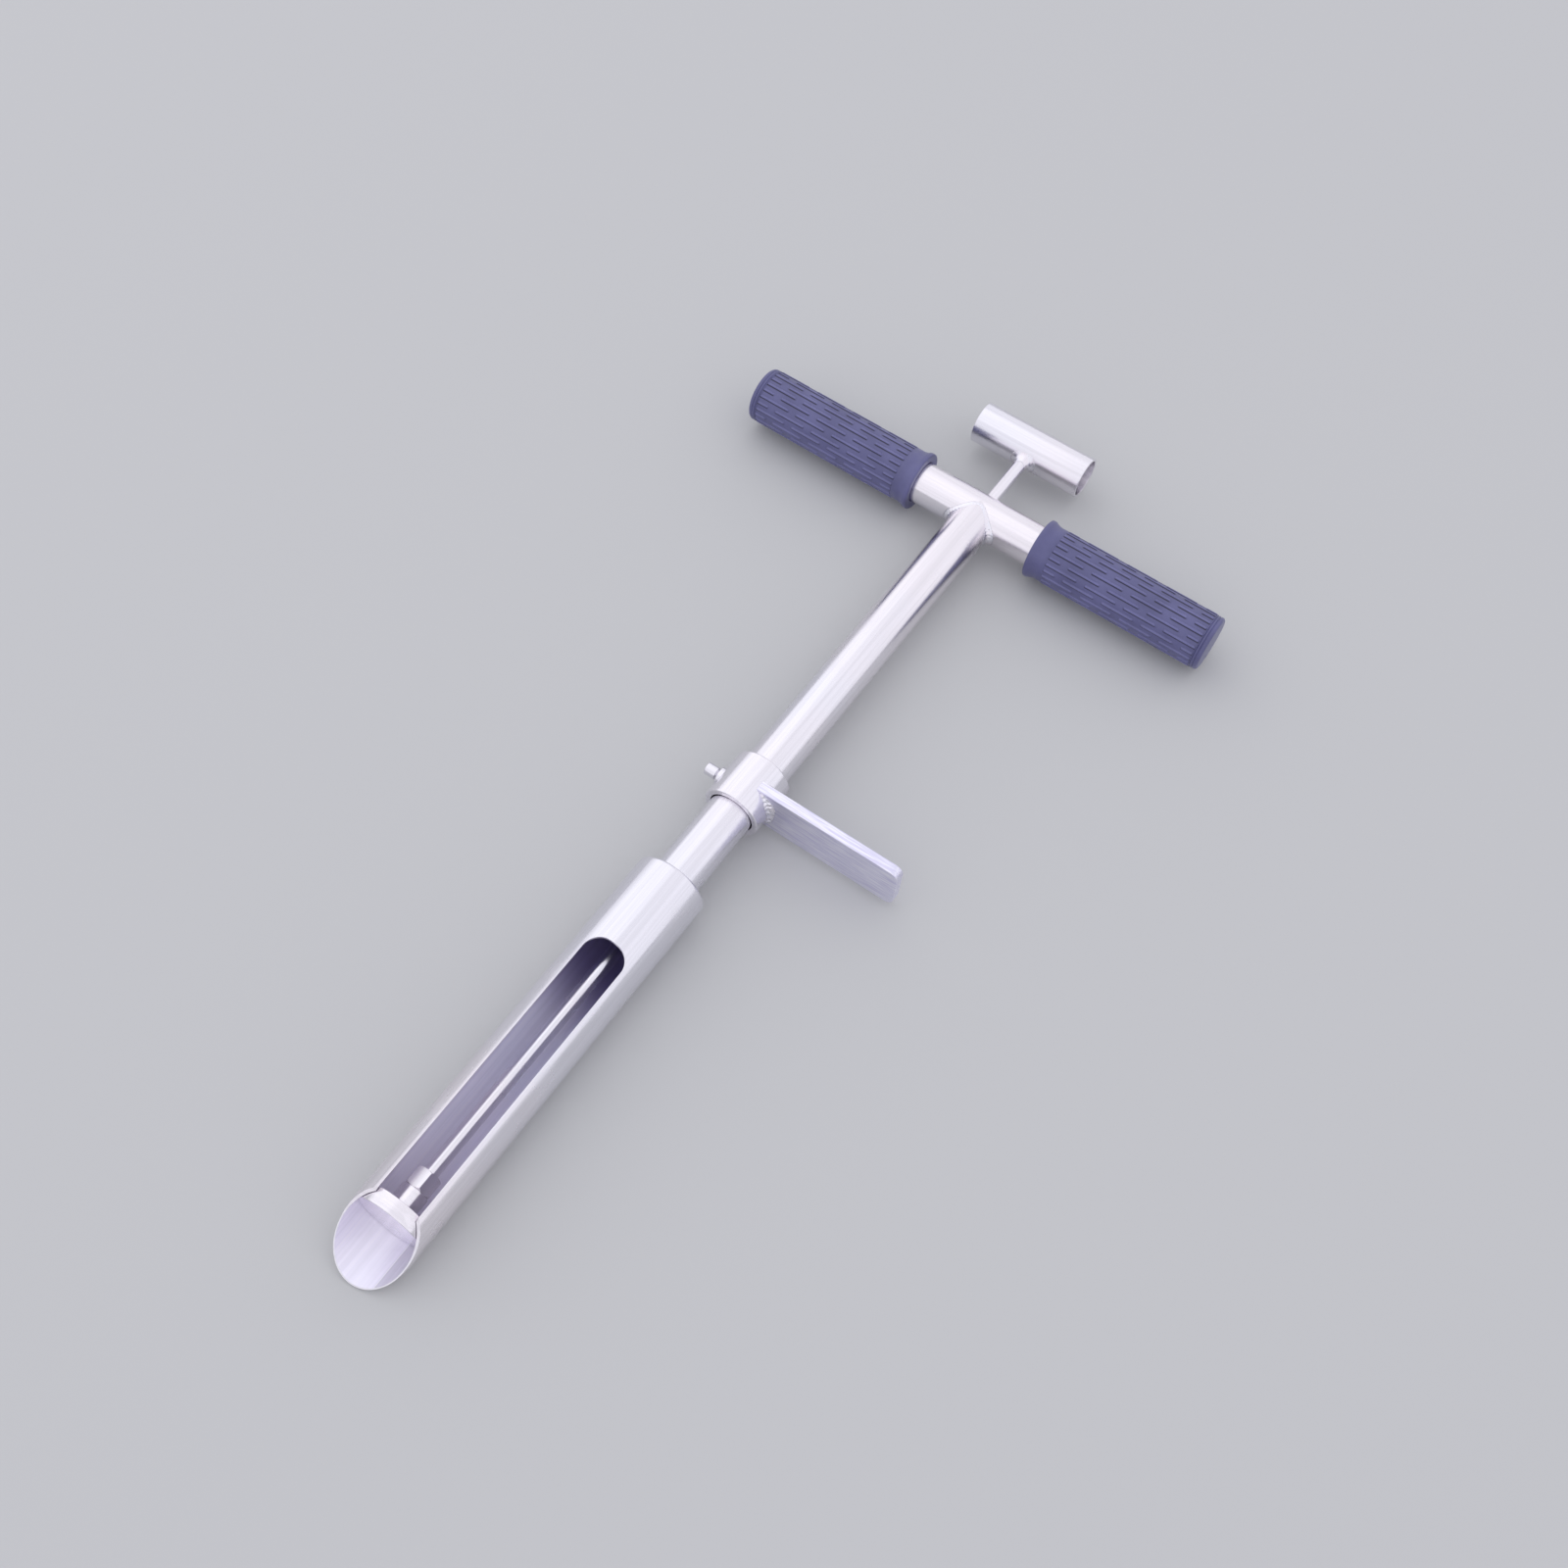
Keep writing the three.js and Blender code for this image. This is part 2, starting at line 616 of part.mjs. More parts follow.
// The low boss round the screw, coped to the collar
function makeClampBoss() {
  const bore = SCREW_DIAMETER / 2 + THREAD_GAP;
  const radius = BOSS_DIAMETER / 2;
  const top = collarRadius + BOSS_HEIGHT;
  const ring = turnedY([
    [0, bore],
    [0, radius],
    [top - BOSS_CHAMFER, radius],
    [top, radius - BOSS_CHAMFER],
    [top, bore],
    [0, bore],
  ], SCREW_STEPS);
  return piece('clamp_boss', ring.subtract(collarCope()), dullSteel);
}

// The clamp screw, whose point bears on the shaft, with a socket in its small round head
function makeClampScrew() {
  const radius = SCREW_DIAMETER / 2;
  const head = SCREW_HEAD_DIAMETER / 2;
  const tip = shaftRadius + FIT_GAP;
  const headY = collarRadius + BOSS_HEIGHT + SCREW_NECK;
  const topY = headY + SCREW_HEAD_LENGTH;
  const body = turnedY([
    [tip, 0],
    [tip, radius - SCREW_CHAMFER],
    [tip + SCREW_CHAMFER, radius],
    [headY, radius],
    [headY + SCREW_HEAD_EDGE / 2, head],
    [topY - SCREW_HEAD_EDGE, head],
    [topY, head - SCREW_HEAD_EDGE],
    [topY, 0],
  ], SCREW_STEPS);
  const socket = SCREW_SOCKET / 2 / Math.cos(Math.PI / 6);
  const key = turnedY(rodOutline(topY - SCREW_SOCKET_DEPTH, topY + OVERRUN, socket), 6);
  return piece('clamp_screw', body.subtract(key), steel);
}

// The tool, with X measured from the tip and the shaft's axis at Z = 0
const tool = new THREE.Group();
tool.add(makeBarrel(), makeBarrelCap(), makeRodBush(), makeShaft(), makeShaftWeld());
tool.add(makeCrossTube(), makeHandleWeld());

const gripLeft = makeGrip('grip_left', true);
const gripRight = makeGrip('grip_right', false);
gripRight.rotation.z = Math.PI;
tool.add(gripLeft, gripRight);

tool.add(makeEjectorDisc(), makeLockNut(), makeEjectorRod(), makeEjectorHandle(), makeEjectorWeld());

// The foot step is made about the middle of its collar
const footStep = new THREE.Group();
footStep.add(makeStepCollar(), makeFootBar(), makeStepWeld('step_weld_front', -1));
footStep.add(makeStepWeld('step_weld_back', 1), makeClampBoss(), makeClampScrew());
footStep.position.x = stepX;
tool.add(footStep);

// The whole tool rests on the back of its barrel, with the origin under its middle
tool.position.set(-overallLength / 2, 0, barrelRadius);
const group = new THREE.Group();
group.add(tool);

export default group;
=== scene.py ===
import math

import bmesh
import bpy
import numpy as np
from mathutils import Matrix, Vector


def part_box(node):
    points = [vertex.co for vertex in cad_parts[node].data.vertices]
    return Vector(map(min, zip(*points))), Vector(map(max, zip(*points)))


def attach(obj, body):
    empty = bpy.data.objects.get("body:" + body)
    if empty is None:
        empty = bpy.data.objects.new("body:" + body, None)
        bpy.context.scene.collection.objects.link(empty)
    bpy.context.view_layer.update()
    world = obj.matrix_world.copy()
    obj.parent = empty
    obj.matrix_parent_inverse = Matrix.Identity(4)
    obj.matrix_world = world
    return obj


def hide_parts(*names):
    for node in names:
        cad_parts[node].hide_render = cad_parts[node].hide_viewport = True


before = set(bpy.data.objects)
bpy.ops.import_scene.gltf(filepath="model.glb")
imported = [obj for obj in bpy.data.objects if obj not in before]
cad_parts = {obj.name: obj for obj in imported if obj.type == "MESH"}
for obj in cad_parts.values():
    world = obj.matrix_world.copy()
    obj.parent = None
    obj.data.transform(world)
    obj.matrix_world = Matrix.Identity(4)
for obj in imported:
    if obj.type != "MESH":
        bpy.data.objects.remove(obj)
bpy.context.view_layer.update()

# Camera
# It stands above the scoop's end, a little to the right of the tool, and looks down along it
# at about 59 degrees, as the photograph does.
CAMERA_PLACE = Vector((-0.4122, -0.2436, 0.8275))
CAMERA_LOOK = Vector((0.4542, 0.2453, -0.8565))
CAMERA_RIGHT = Vector((0.5657, -0.8221, 0.0646))
LENS_MM = 41.18
SENSOR_MM = 36.0

lens = bpy.data.cameras.new("photo_lens")
lens.lens = LENS_MM
lens.sensor_width = SENSOR_MM
camera = bpy.data.objects.new("photo_camera", lens)
bpy.context.scene.collection.objects.link(camera)
camera_up = CAMERA_RIGHT.cross(CAMERA_LOOK)
turn = Matrix((CAMERA_RIGHT, camera_up, -CAMERA_LOOK)).transposed()
camera.matrix_world = Matrix.Translation(CAMERA_PLACE) @ turn.to_4x4()
bpy.context.scene.camera = camera
bpy.context.scene.view_settings.view_transform = "Standard"

# Light
# A soft overcast studio: pale all round, down to just above the floor, with one large lamp on
# the left grip's side, so that the tubes get a broad highlight and darker flanks.
WALL_FOOT = (0.34, 0.34, 0.39, 1)
WALL_PALE = (0.96, 0.96, 1.02, 1)
WALL_FADE = 0.11
LIGHT_FROM = Vector((0.1, 0.62, 0.78)).normalized()
LAMP_DISTANCE = 1.9
LAMP_SIZE = 2.6
LAMP_WATTS = 3.5


class Link:
    """A node's output that takes part in sums: each operator adds a Math node."""

    def __init__(self, tree, socket):
        self.tree = tree
        self.socket = socket

    def math(self, operation, first, second=0.0):
        return self.tree.add("ShaderNodeMath", {"operation": operation}, {0: first, 1: second})

    def __add__(self, other):
        return self.math("ADD", self, other)

    def __sub__(self, other):
        return self.math("SUBTRACT", self, other)

    def __rsub__(self, other):
        return self.math("SUBTRACT", other, self)

    def __mul__(self, other):
        return self.math("MULTIPLY", self, other)

    def __truediv__(self, other):
        return self.math("DIVIDE", self, other)

    __radd__ = __add__
    __rmul__ = __mul__


class Tree:
    """A tree of nodes, for a surface or for geometry. One method, add, makes every node."""

    def __init__(self, nodes):
        self.nodes = nodes

    def add(self, kind, settings=None, inputs=None, output=0):
        node = self.nodes.nodes.new(kind)
        for name, value in (settings or {}).items():
            setattr(node, name, value)
        for key, value in (inputs or {}).items():
            if isinstance(value, Link):
                self.nodes.links.new(value.socket, node.inputs[key])
            else:
                node.inputs[key].default_value = value
        return Link(self, node.outputs[output]) if len(node.outputs) else node

    def mix(self, share, first, second, blend="MIX"):
        """A colour between two, by a share from 0 to 1."""
        kind = {"data_type": "RGBA", "blend_type": blend}
        return self.add("ShaderNodeMix", kind, {0: share, 6: first, 7: second}, 2)

    def ramp(self, value, low, high, first=0.0, second=1.0):
        """A value that eases from first to second as the input goes from low to high."""
        ends = {"Value": value, "From Min": low, "From Max": high, "To Min": first, "To Max": second}
        return self.add("ShaderNodeMapRange", {"interpolation_type": "SMOOTHSTEP"}, ends)

    def noise(self, place, scale, detail, turn=(0, 0, 0)):
        """A noise of one scale, or of one for each axis, which may be turned."""
        if isinstance(scale, tuple):
            lay = {"Vector": place, "Rotation": turn, "Scale": scale}
            place, scale = self.add("ShaderNodeMapping", None, lay), 1.0
        return self.add("ShaderNodeTexNoise", None, {"Vector": place, "Scale": scale, "Detail": detail})

    def relief(self, height, strength, distance):
        """A bump of this height, for a surface's Normal."""
        sizes = {"Height": height, "Strength": strength, "Distance": distance}
        return self.add("ShaderNodeBump", None, sizes)

    def coat(self, sockets):
        """Ends a material: one surface with these sockets."""
        surface = self.add("ShaderNodeBsdfPrincipled", None, sockets)
        self.add("ShaderNodeOutputMaterial", None, {"Surface": surface})


room = bpy.data.worlds.new("room")
room.use_nodes = True
room.node_tree.nodes.clear()
bpy.context.scene.world = room
air = Tree(room.node_tree)
direction = air.add("ShaderNodeTexCoord")
height = air.add("ShaderNodeSeparateXYZ", None, {0: direction}, "Z")
walls = air.mix(air.ramp(height, 0.0, WALL_FADE), WALL_FOOT, WALL_PALE)
glow = air.add("ShaderNodeBackground", None, {"Color": walls})
air.add("ShaderNodeOutputWorld", None, {"Surface": glow})

panel = bpy.data.lights.new("soft_panel", "AREA")
panel.size = LAMP_SIZE
panel.energy = LAMP_WATTS
lamp = bpy.data.objects.new("soft_panel", panel)
bpy.context.scene.collection.objects.link(lamp)
lamp.location = LIGHT_FROM * LAMP_DISTANCE
lamp.rotation_euler = LIGHT_FROM.to_track_quat("Z", "Y").to_euler()

# Floor
# A plain pale floor, just below the tool. It isn't part of the object.
FLOOR_REACH = 8.0
FLOOR_DROP = 0.0001
FLOOR_COLOUR = (0.54, 0.545, 0.55, 1)


def blank_material(name):
    """A new material, and its tree of nodes, which is still empty."""
    material = bpy.data.materials.new(name)
    material.use_nodes = True
    material.node_tree.nodes.clear()
    return material, Tree(material.node_tree)


floor_signs = ((-1, -1), (1, -1), (1, 1), (-1, 1))
floor_corners = [(x * FLOOR_REACH, y * FLOOR_REACH, -FLOOR_DROP) for x, y in floor_signs]
floor_mesh = bpy.data.meshes.new("floor")
floor_mesh.from_pydata(floor_corners, [], [(0, 1, 2, 3)])
floor = bpy.data.objects.new("floor", floor_mesh)
bpy.context.scene.collection.objects.link(floor)
floor_paint, paint = blank_material("floor_paint")
paint.coat({"Base Color": FLOOR_COLOUR, "Roughness": 0.9})
floor_mesh.materials.append(floor_paint)

# Barrel
# A stainless tube 40 mm across with a wall of 1.5 mm. Its mouth is cut at 45 degrees and
# ground from outside to a cutting edge, and a slot milled from the mouth shows the core. Both
# face a little towards the foot bar's side.
BARREL_WALL = 0.0015
BARREL_TURN = math.radians(7)
BARREL_LENGTH = 0.244
GROUND_LENGTH = 0.003
EDGE_LAND = 0.0006
GRIND_FROM = 0.02
GRIND_FULL = 0.35
WINDOW_WIDTH = 0.023
WINDOW_CORNER = 0.009
WINDOW_SETBACK = 0.0515
CAP_FLANGE = 0.004
DEBURR = 0.00015
BARREL_COLUMNS = 200
MERGE = 2e-6
SHARP = math.radians(33)
SEAM_ANGLE = math.radians(-30)
SEAM_HALF = 0.00022
SEAM_SHINE = 0.8
SEAM_COLOUR = (0.98, 0.97, 1.0, 1)
SEAM_SIDE_PAINTED_SHADE = 0.74
# The bore's painted shade darkens it over this length to the deep colour behind the slot.
BORE_SHADE_FADE = 0.045
BORE_PALE = (1.0, 0.99, 1.0, 1)
BORE_PAINTED_SHADE = (0.36, 0.32, 0.52, 1)

barrel_low, barrel_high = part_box("barrel")
AXIS_Z = (barrel_low.z + barrel_high.z) / 2
BARREL_RADIUS = (barrel_high.z - barrel_low.z) / 2
BARREL_BORE = BARREL_RADIUS - BARREL_WALL
TIP_X = barrel_low.x
SHOULDER_X = TIP_X + BARREL_LENGTH
BARREL_END_X = SHOULDER_X - CAP_FLANGE
WINDOW_END_X = SHOULDER_X - WINDOW_SETBACK


def steel(name, grain, colour=(0.85, 0.84, 0.90, 1), warm=(0.89, 0.85, 0.89, 1), gloss=0.22,
          lines=0.25, metallic=1.0, recolour=None):
    """Satin stainless: fine lines along the grain, faint smudges and a lavender to pinkish tone.
    A recolour function may change the colour from place to place, with marks and painted shade."""
    material, tree = blank_material(name)
    place = tree.add("ShaderNodeTexCoord", None, None, "Object")

    def drawn(along, across, detail):
        return tree.noise(place, tuple(along if axis == grain else across for axis in "XYZ"), detail)

    fine = drawn(14.0, 2600.0, 2.0)
    streaks = drawn(7.0, 420.0, 3.0)
    smudges = drawn(38.0, 46.0, 5.0)
    clouds = drawn(9.0, 14.0, 2.0)
    tone = tree.mix(tree.ramp(clouds, 0.35, 0.65), colour, warm)
    shade = tree.ramp(streaks, 0.3, 0.7, 0.94, 1.03)
    base = tree.mix(1.0, tone, shade, "MULTIPLY")
    rough = gloss + 0.10 * tree.ramp(smudges, 0.45, 0.75) + 0.08 * (streaks - 0.5)
    if recolour:
        base = recolour(tree, place, base)
    relief = tree.relief(fine + 0.6 * streaks, lines, 0.00003)
    tree.coat({"Base Color": base, "Metallic": metallic, "Roughness": rough, "Normal": relief})
    return material


def mesh_piece(name, points, faces, material, crease=20.0, inks=None):
    """A new closed piece, smooth but for edges sharper than the crease angle."""
    mesh = bpy.data.meshes.new(name)
    mesh.from_pydata(np.asarray(points, float).tolist(), [], faces)
    if inks is not None:
        mesh.polygons.foreach_set("material_index", inks)
    shape = bmesh.new()
    shape.from_mesh(mesh)
    bmesh.ops.remove_doubles(shape, verts=shape.verts, dist=MERGE)
    bmesh.ops.recalc_face_normals(shape, faces=shape.faces)
    shape.to_mesh(mesh)
    shape.free()
    mesh.shade_smooth()
    mesh.set_sharp_from_angle(angle=math.radians(crease))
    mesh.materials.append(material)
    piece = bpy.data.objects.new(name, mesh)
    bpy.context.scene.collection.objects.link(piece)
    return piece


def grid_faces(rows, columns, first, closed=False):
    """Four-sided faces between the points of a grid that starts at one index."""
    last = columns if closed else columns - 1
    faces = []
    for i in range(rows - 1):
        for j in range(last):
            here, side = first + i * columns + j, first + i * columns + (j + 1) % columns
            faces.append((here, side, side + columns, here + columns))
    return faces


def break_edges(piece, width, where=None, segments=2):
    """Rounds the piece's sharp edges off, all of them or those whose middle passes a test."""
    mesh = piece.data
    shape = bmesh.new()
    shape.from_mesh(mesh)
    weight = shape.edges.layers.float.new("bevel_weight_edge")
    for edge in shape.edges:
        sharp = len(edge.link_faces) == 2 and edge.calc_face_angle() > SHARP
        middle = (edge.verts[0].co + edge.verts[1].co) / 2
        if sharp and (where is None or where(middle)):
            edge[weight] = 1.0
            edge.smooth = True
    shape.to_mesh(mesh)
    shape.free()
    bevel = piece.modifiers.new("broken_edges", "BEVEL")
    bevel.limit_method = "WEIGHT"
    bevel.width = width
    bevel.segments = segments
    bevel.harden_normals = True
    return piece


def make_barrel(materials):
    """The tube as two walls of strips round the slot, joined along the mouth, slot and rear end.
    The first material is for the outside, the second for the bore and the third for cuts."""
    half = WINDOW_WIDTH / 2
    edge_radius = BARREL_BORE + EDGE_LAND
    corner_x = WINDOW_END_X - WINDOW_CORNER

    def ring(radius):
        side = np.arcsin(half / radius)
        angles = side + (2 * math.pi - 2 * side) * np.linspace(0, 1, BARREL_COLUMNS + 1)
        return radius * np.sin(angles), radius * np.cos(angles)

    # The scoop is ground sharp, and less and less towards the slot, where the cut is left flat
    lowness = (1 - np.cos(np.linspace(0, 2 * math.pi, BARREL_COLUMNS + 1))) / 2
    grind = np.clip((lowness - GRIND_FROM) / (GRIND_FULL - GRIND_FROM), 0, 1)

    def mouth(z, back=0.0):
        return TIP_X + z + edge_radius + back

    def strip(from_x, to_x, y, z, shares):
        x = np.array([from_x + (to_x - from_x) * share for share in shares])
        return np.stack([x, np.tile(y, (len(shares), 1)), np.tile(z, (len(shares), 1))], axis=-1)

    # The end of the slot: a flat middle and two rounded corners
    bends = np.linspace(0, math.pi / 2, 15)
    arc_y = half - WINDOW_CORNER + WINDOW_CORNER * np.cos(bends)
    arc_x = corner_x + WINDOW_CORNER * np.sin(bends)
    flat_y = np.linspace(arc_y[-1], -arc_y[-1], 6)[1:-1]
    slot_y = np.concatenate([arc_y, flat_y, -arc_y[::-1]])
    slot_x = np.concatenate([arc_x, np.full(len(flat_y), WINDOW_END_X), arc_x[::-1]])

    # Rows lie close together behind the mouth, and evenly from there on
    forward = np.concatenate([[0, 0.003, 0.008], np.linspace(0.02, 1, 9)])
    rear = np.linspace(0, 1, 6)
    sheets, walls = [], {}
    for ink, radius, back in ((0, BARREL_RADIUS, GROUND_LENGTH * grind), (1, BARREL_BORE, 0.0)):
        y, z = ring(radius)
        slot_z = np.sqrt(radius**2 - slot_y**2)
        front = strip(mouth(z, back), corner_x, y, z, forward)
        behind = strip(np.full_like(y, corner_x), BARREL_END_X, y, z, rear)
        plug = strip(slot_x, BARREL_END_X, slot_y, slot_z, rear)
        sheets += [(ink, front), (ink, behind), (ink, plug)]
        walls[radius] = (front, behind, plug)
    outer, inner = walls[BARREL_RADIUS], walls[BARREL_BORE]
    land_y, land_z = ring(edge_radius + (BARREL_RADIUS - edge_radius) * (1 - grind))
    land = np.stack([mouth(land_z), land_y, land_z], axis=-1)
    ground = np.array([land + (outer[0][0] - land) * share for share in np.linspace(0, 1, 5)])
    sheets += [(0, ground), (2, np.stack([inner[0][0], land]))]
    for side in (0, -1):
        sheets.append((2, np.stack([inner[0][:, side], outer[0][:, side]])))
    sheets.append((2, np.stack([inner[2][0], outer[2][0]])))
    for part in (1, 2):
        sheets.append((0, np.stack([inner[part][-1], outer[part][-1]])))

    points, faces, inks = [], [], []
    for ink, grid in sheets:
        faces += grid_faces(grid.shape[0], grid.shape[1], len(points))
        points += grid.reshape(-1, 3).tolist()
        inks += [ink] * (len(faces) - len(inks))
    for side in (0, -1):
        first = len(points)
        points += [inner[0][0, side].tolist(), *ground[:, side].tolist()]
        faces.append(tuple(range(first, len(points))))
        inks.append(2)
    piece = mesh_piece("scoop_barrel", points, faces, materials[0], crease=32.0, inks=inks)
    for material in materials[1:]:
        piece.data.materials.append(material)
    turn = Matrix.Rotation(BARREL_TURN, 4, "X")
    piece.data.transform(Matrix.Translation((0, 0, AXIS_Z)) @ turn)
    return piece


def bore_seam_and_painted_shade(tree, place, base):
    """Inside the tube the steel is painted darker behind the slot, a painted shade for the shade in the
    slot's closed end.
    The tube's seam runs along it as a pale line, with a painted shade on one side."""
    x, y, z = (tree.add("ShaderNodeSeparateXYZ", None, {0: place}, axis) for axis in "XYZ")
    # Painted shade: the bore's colour darkens towards the slot's closed end, where shade falls.
    depth = tree.ramp(x, WINDOW_END_X - BORE_SHADE_FADE, WINDOW_END_X)
    around = (x.math("ARCTAN2", y, AXIS_Z - z) - SEAM_ANGLE) * BARREL_BORE
    seam = tree.ramp(x.math("ABSOLUTE", around), SEAM_HALF * 0.6, SEAM_HALF, SEAM_SHINE, 0.0)
    # Painted shade: the bore is darker on one side of the seam, standing for the shade that falls on
    # that side.
    side = tree.ramp(around, -SEAM_HALF, SEAM_HALF, SEAM_SIDE_PAINTED_SHADE, 1.0)
    shaded = tree.mix(1.0, base, tree.mix(depth, BORE_PALE, BORE_PAINTED_SHADE), "MULTIPLY")
    return tree.mix(seam, tree.mix(1.0, shaded, side, "MULTIPLY"), SEAM_COLOUR)


scoop_barrel = make_barrel([
    steel("tube_steel", "X"),
    steel(
        "bore_steel",
        "X",
        colour=(0.88, 0.88, 1.0, 1),
        warm=(0.92, 0.89, 1.0, 1),
        gloss=0.38,
        metallic=0.42,
        recolour=bore_seam_and_painted_shade,
    ),
    steel("ground_steel", "Y", colour=(0.93, 0.92, 0.97, 1), gloss=0.34, lines=0.5),
])
break_edges(scoop_barrel, DEBURR, lambda middle: middle.x < SHOULDER_X - 2 * CAP_FLANGE)
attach(scoop_barrel, "frame")
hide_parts("barrel")

# Barrel cap and rod bush
# The turned stainless cap closes the barrel with a spigot, shows as the rounded shoulder, and
# carries the shaft on its neck. A bronze bush in its bore guides the ejector rod.
CAP_RIM = 0.002
CAP_SPIGOT = 0.010
CAP_NECK = 0.008
CAP_BORE = 0.0063
CAP_LEAD = 0.001
BUSH_BORE = 0.0042
BUSH_EDGE = 0.0005
BUSH_LEAD = 0.0003
SHAFT_BORE = 0.0105
FIT = 0.0003


def rounded(outline, steps=6):
    """Points of an outline of (along, radius, break), with each corner broken back that far."""
    made = []
    for i, (along, radius, back) in enumerate(outline):
        corner = np.array((along, radius))
        if not back:
            made.append(tuple(corner))
            continue
        for neighbour in (outline[i - 1], outline[(i + 1) % len(outline)]):
            away = np.array(neighbour[:2]) - corner
            leg = corner + away / np.linalg.norm(away) * back
            if neighbour is outline[i - 1]:
                start = leg
        for share in np.linspace(0, 1, steps + 1):
            bend = (1 - share) ** 2 * start + 2 * share * (1 - share) * corner + share**2 * leg
            made.append(tuple(bend))
    return made


def turned(name, axis, outline, centre, material, steps=160, trim=None, angles=None, crease=20.0):
    """A piece turned about X or Y from a closed outline of (along, radius, sides): a point with
    sides is a ring of flats. Points are counted from the centre, and trim may move them."""
    angles = np.linspace(0, 2 * math.pi, steps, endpoint=False) if angles is None else angles
    rings = []
    for along, radius, *sides in outline:
        reach = np.full(len(angles), radius)
        if sides:
            flat = math.pi / sides[0]
            reach = radius / np.cos((angles + flat) % (2 * flat) - flat)
        wide, high = reach * np.cos(angles), reach * np.sin(angles)
        far = np.full(len(angles), along)
        order = (far, wide, high) if axis == "X" else (wide, far, high)
        rings.append(np.stack(order, axis=-1))
    points = np.array(rings + rings[:1])
    if trim is not None:
        points = trim(points)
    points = points + np.array(centre)
    faces = grid_faces(len(rings) + 1, len(angles), 0, closed=True)
    return mesh_piece(name, points.reshape(-1, 3), faces, material, crease)


shoulder_cap = turned(
    "shoulder_cap",
    "X",
    rounded([
        (BARREL_END_X - CAP_SPIGOT, CAP_BORE, 0),
        (BARREL_END_X - CAP_SPIGOT, BARREL_BORE - FIT, CAP_LEAD),
        (BARREL_END_X, BARREL_BORE - FIT, 0),
        (BARREL_END_X, BARREL_RADIUS, 0),
        (SHOULDER_X, BARREL_RADIUS, CAP_RIM),
        (SHOULDER_X, SHAFT_BORE - FIT, 0),
        (SHOULDER_X + CAP_NECK, SHAFT_BORE - FIT, CAP_LEAD),
        (SHOULDER_X + CAP_NECK, CAP_BORE, 0),
    ]),
    (0, 0, AXIS_Z),
    steel("cap_steel", "X"),
)
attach(shoulder_cap, "frame")
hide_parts("barrel_cap")

BRONZE = (0.66, 0.47, 0.24, 1)
BRONZE_DULL = (0.46, 0.31, 0.16, 1)


def bronze():
    """Machined bronze with turning marks and a duller, browner tone in patches."""
    material, tree = blank_material("bush_bronze")
    place = tree.add("ShaderNodeTexCoord", None, None, "Object")
    lines = tree.noise(place, (3500.0, 90.0, 90.0), 2.0)
    patches = tree.noise(place, 260.0, 3.0)
    tree.coat({
        "Base Color": tree.mix(tree.ramp(patches, 0.35, 0.7), BRONZE, BRONZE_DULL),
        "Metallic": 1.0,
        "Roughness": 0.3 + 0.15 * patches,
        "Normal": tree.relief(lines, 0.3, 0.00003),
    })
    return material


guide_bush = turned(
    "guide_bush",
    "X",
    rounded([
        (BARREL_END_X - CAP_SPIGOT, BUSH_BORE, BUSH_LEAD),
        (BARREL_END_X - CAP_SPIGOT, CAP_BORE - FIT, BUSH_EDGE),
        (SHOULDER_X + CAP_NECK, CAP_BORE - FIT, BUSH_EDGE),
        (SHOULDER_X + CAP_NECK, BUSH_BORE, BUSH_LEAD),
    ], steps=3),
    (0, 0, AXIS_Z),
    bronze(),
    steps=72,
)
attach(guide_bush, "frame")
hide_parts("rod_bush")

# Shaft
# A drawn stainless tube 25 mm across. Its foot stands on the cap's shoulder and its head is
# coped to the cross tube.
SHAFT_RADIUS = 0.0125
HANDLE_RADIUS = 0.0125
HANDLE_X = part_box("cross_tube")[0].x + HANDLE_RADIUS


def coped(mate_x, mate_radius):
    """A trim that ends a piece on the near side of a tube that crosses it at mate_x."""
    def trim(points):
        height = np.clip(points[..., 2], -mate_radius, mate_radius)
        limit = mate_x - np.sqrt(mate_radius**2 - height**2)
        trimmed = points.copy()
        trimmed[..., 0] = np.minimum(points[..., 0], limit)
        return trimmed
    return trim


main_shaft = turned(
    "main_shaft",
    "X",
    [
        (SHOULDER_X, SHAFT_BORE),
        (SHOULDER_X, SHAFT_RADIUS),
        (HANDLE_X, SHAFT_RADIUS),
        (HANDLE_X, SHAFT_BORE),
    ],
    (0, 0, AXIS_Z),
    steel("shaft_steel", "X"),
    trim=coped(HANDLE_X, HANDLE_RADIUS),
)
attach(main_shaft, "frame")
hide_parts("shaft_tube")

# Cross tube
# The same size of stainless tube, laid across the shaft's head. The rod passes through both
# walls in close drilled holes, which aren't cut here. The grips hide the tube's ends.
HANDLE_WALL = 0.0015
HANDLE_EDGE = 0.0003
HANDLE_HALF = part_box("cross_tube")[1].y

cross_bar = turned(
    "cross_bar",
    "Y",
    rounded([
        (-HANDLE_HALF, HANDLE_RADIUS - HANDLE_WALL, 0),
        (-HANDLE_HALF, HANDLE_RADIUS, HANDLE_EDGE),
        (HANDLE_HALF, HANDLE_RADIUS, HANDLE_EDGE),
        (HANDLE_HALF, HANDLE_RADIUS - HANDLE_WALL, 0),
    ]),
    (HANDLE_X, 0, AXIS_Z),
    steel("handle_steel", "Y"),
)
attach(cross_bar, "frame")
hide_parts("cross_tube")

# Frame welds
# Stainless weld metal. A small fillet stands round the foot of the shaft. The saddle where shaft
# and cross tube meet is welded all round, thin over the top and fuller in the two crotches.
SHOULDER_LEG = 0.0017
SHOULDER_SWELL = 0.0001
SADDLE_TOP_LEG = 0.0012
SADDLE_SIDE_LEG = 0.0044
SADDLE_SWELL = 0.0007
SADDLE_EASE = 0.003
WELD_SINK = 0.0004
RIPPLE_BOW = 0.0011
WELD_BRIGHT = (0.87, 0.86, 0.92, 1)
WELD_TINTED = (0.88, 0.83, 0.88, 1)
WELD_PIT = (0.26, 0.23, 0.27, 1)


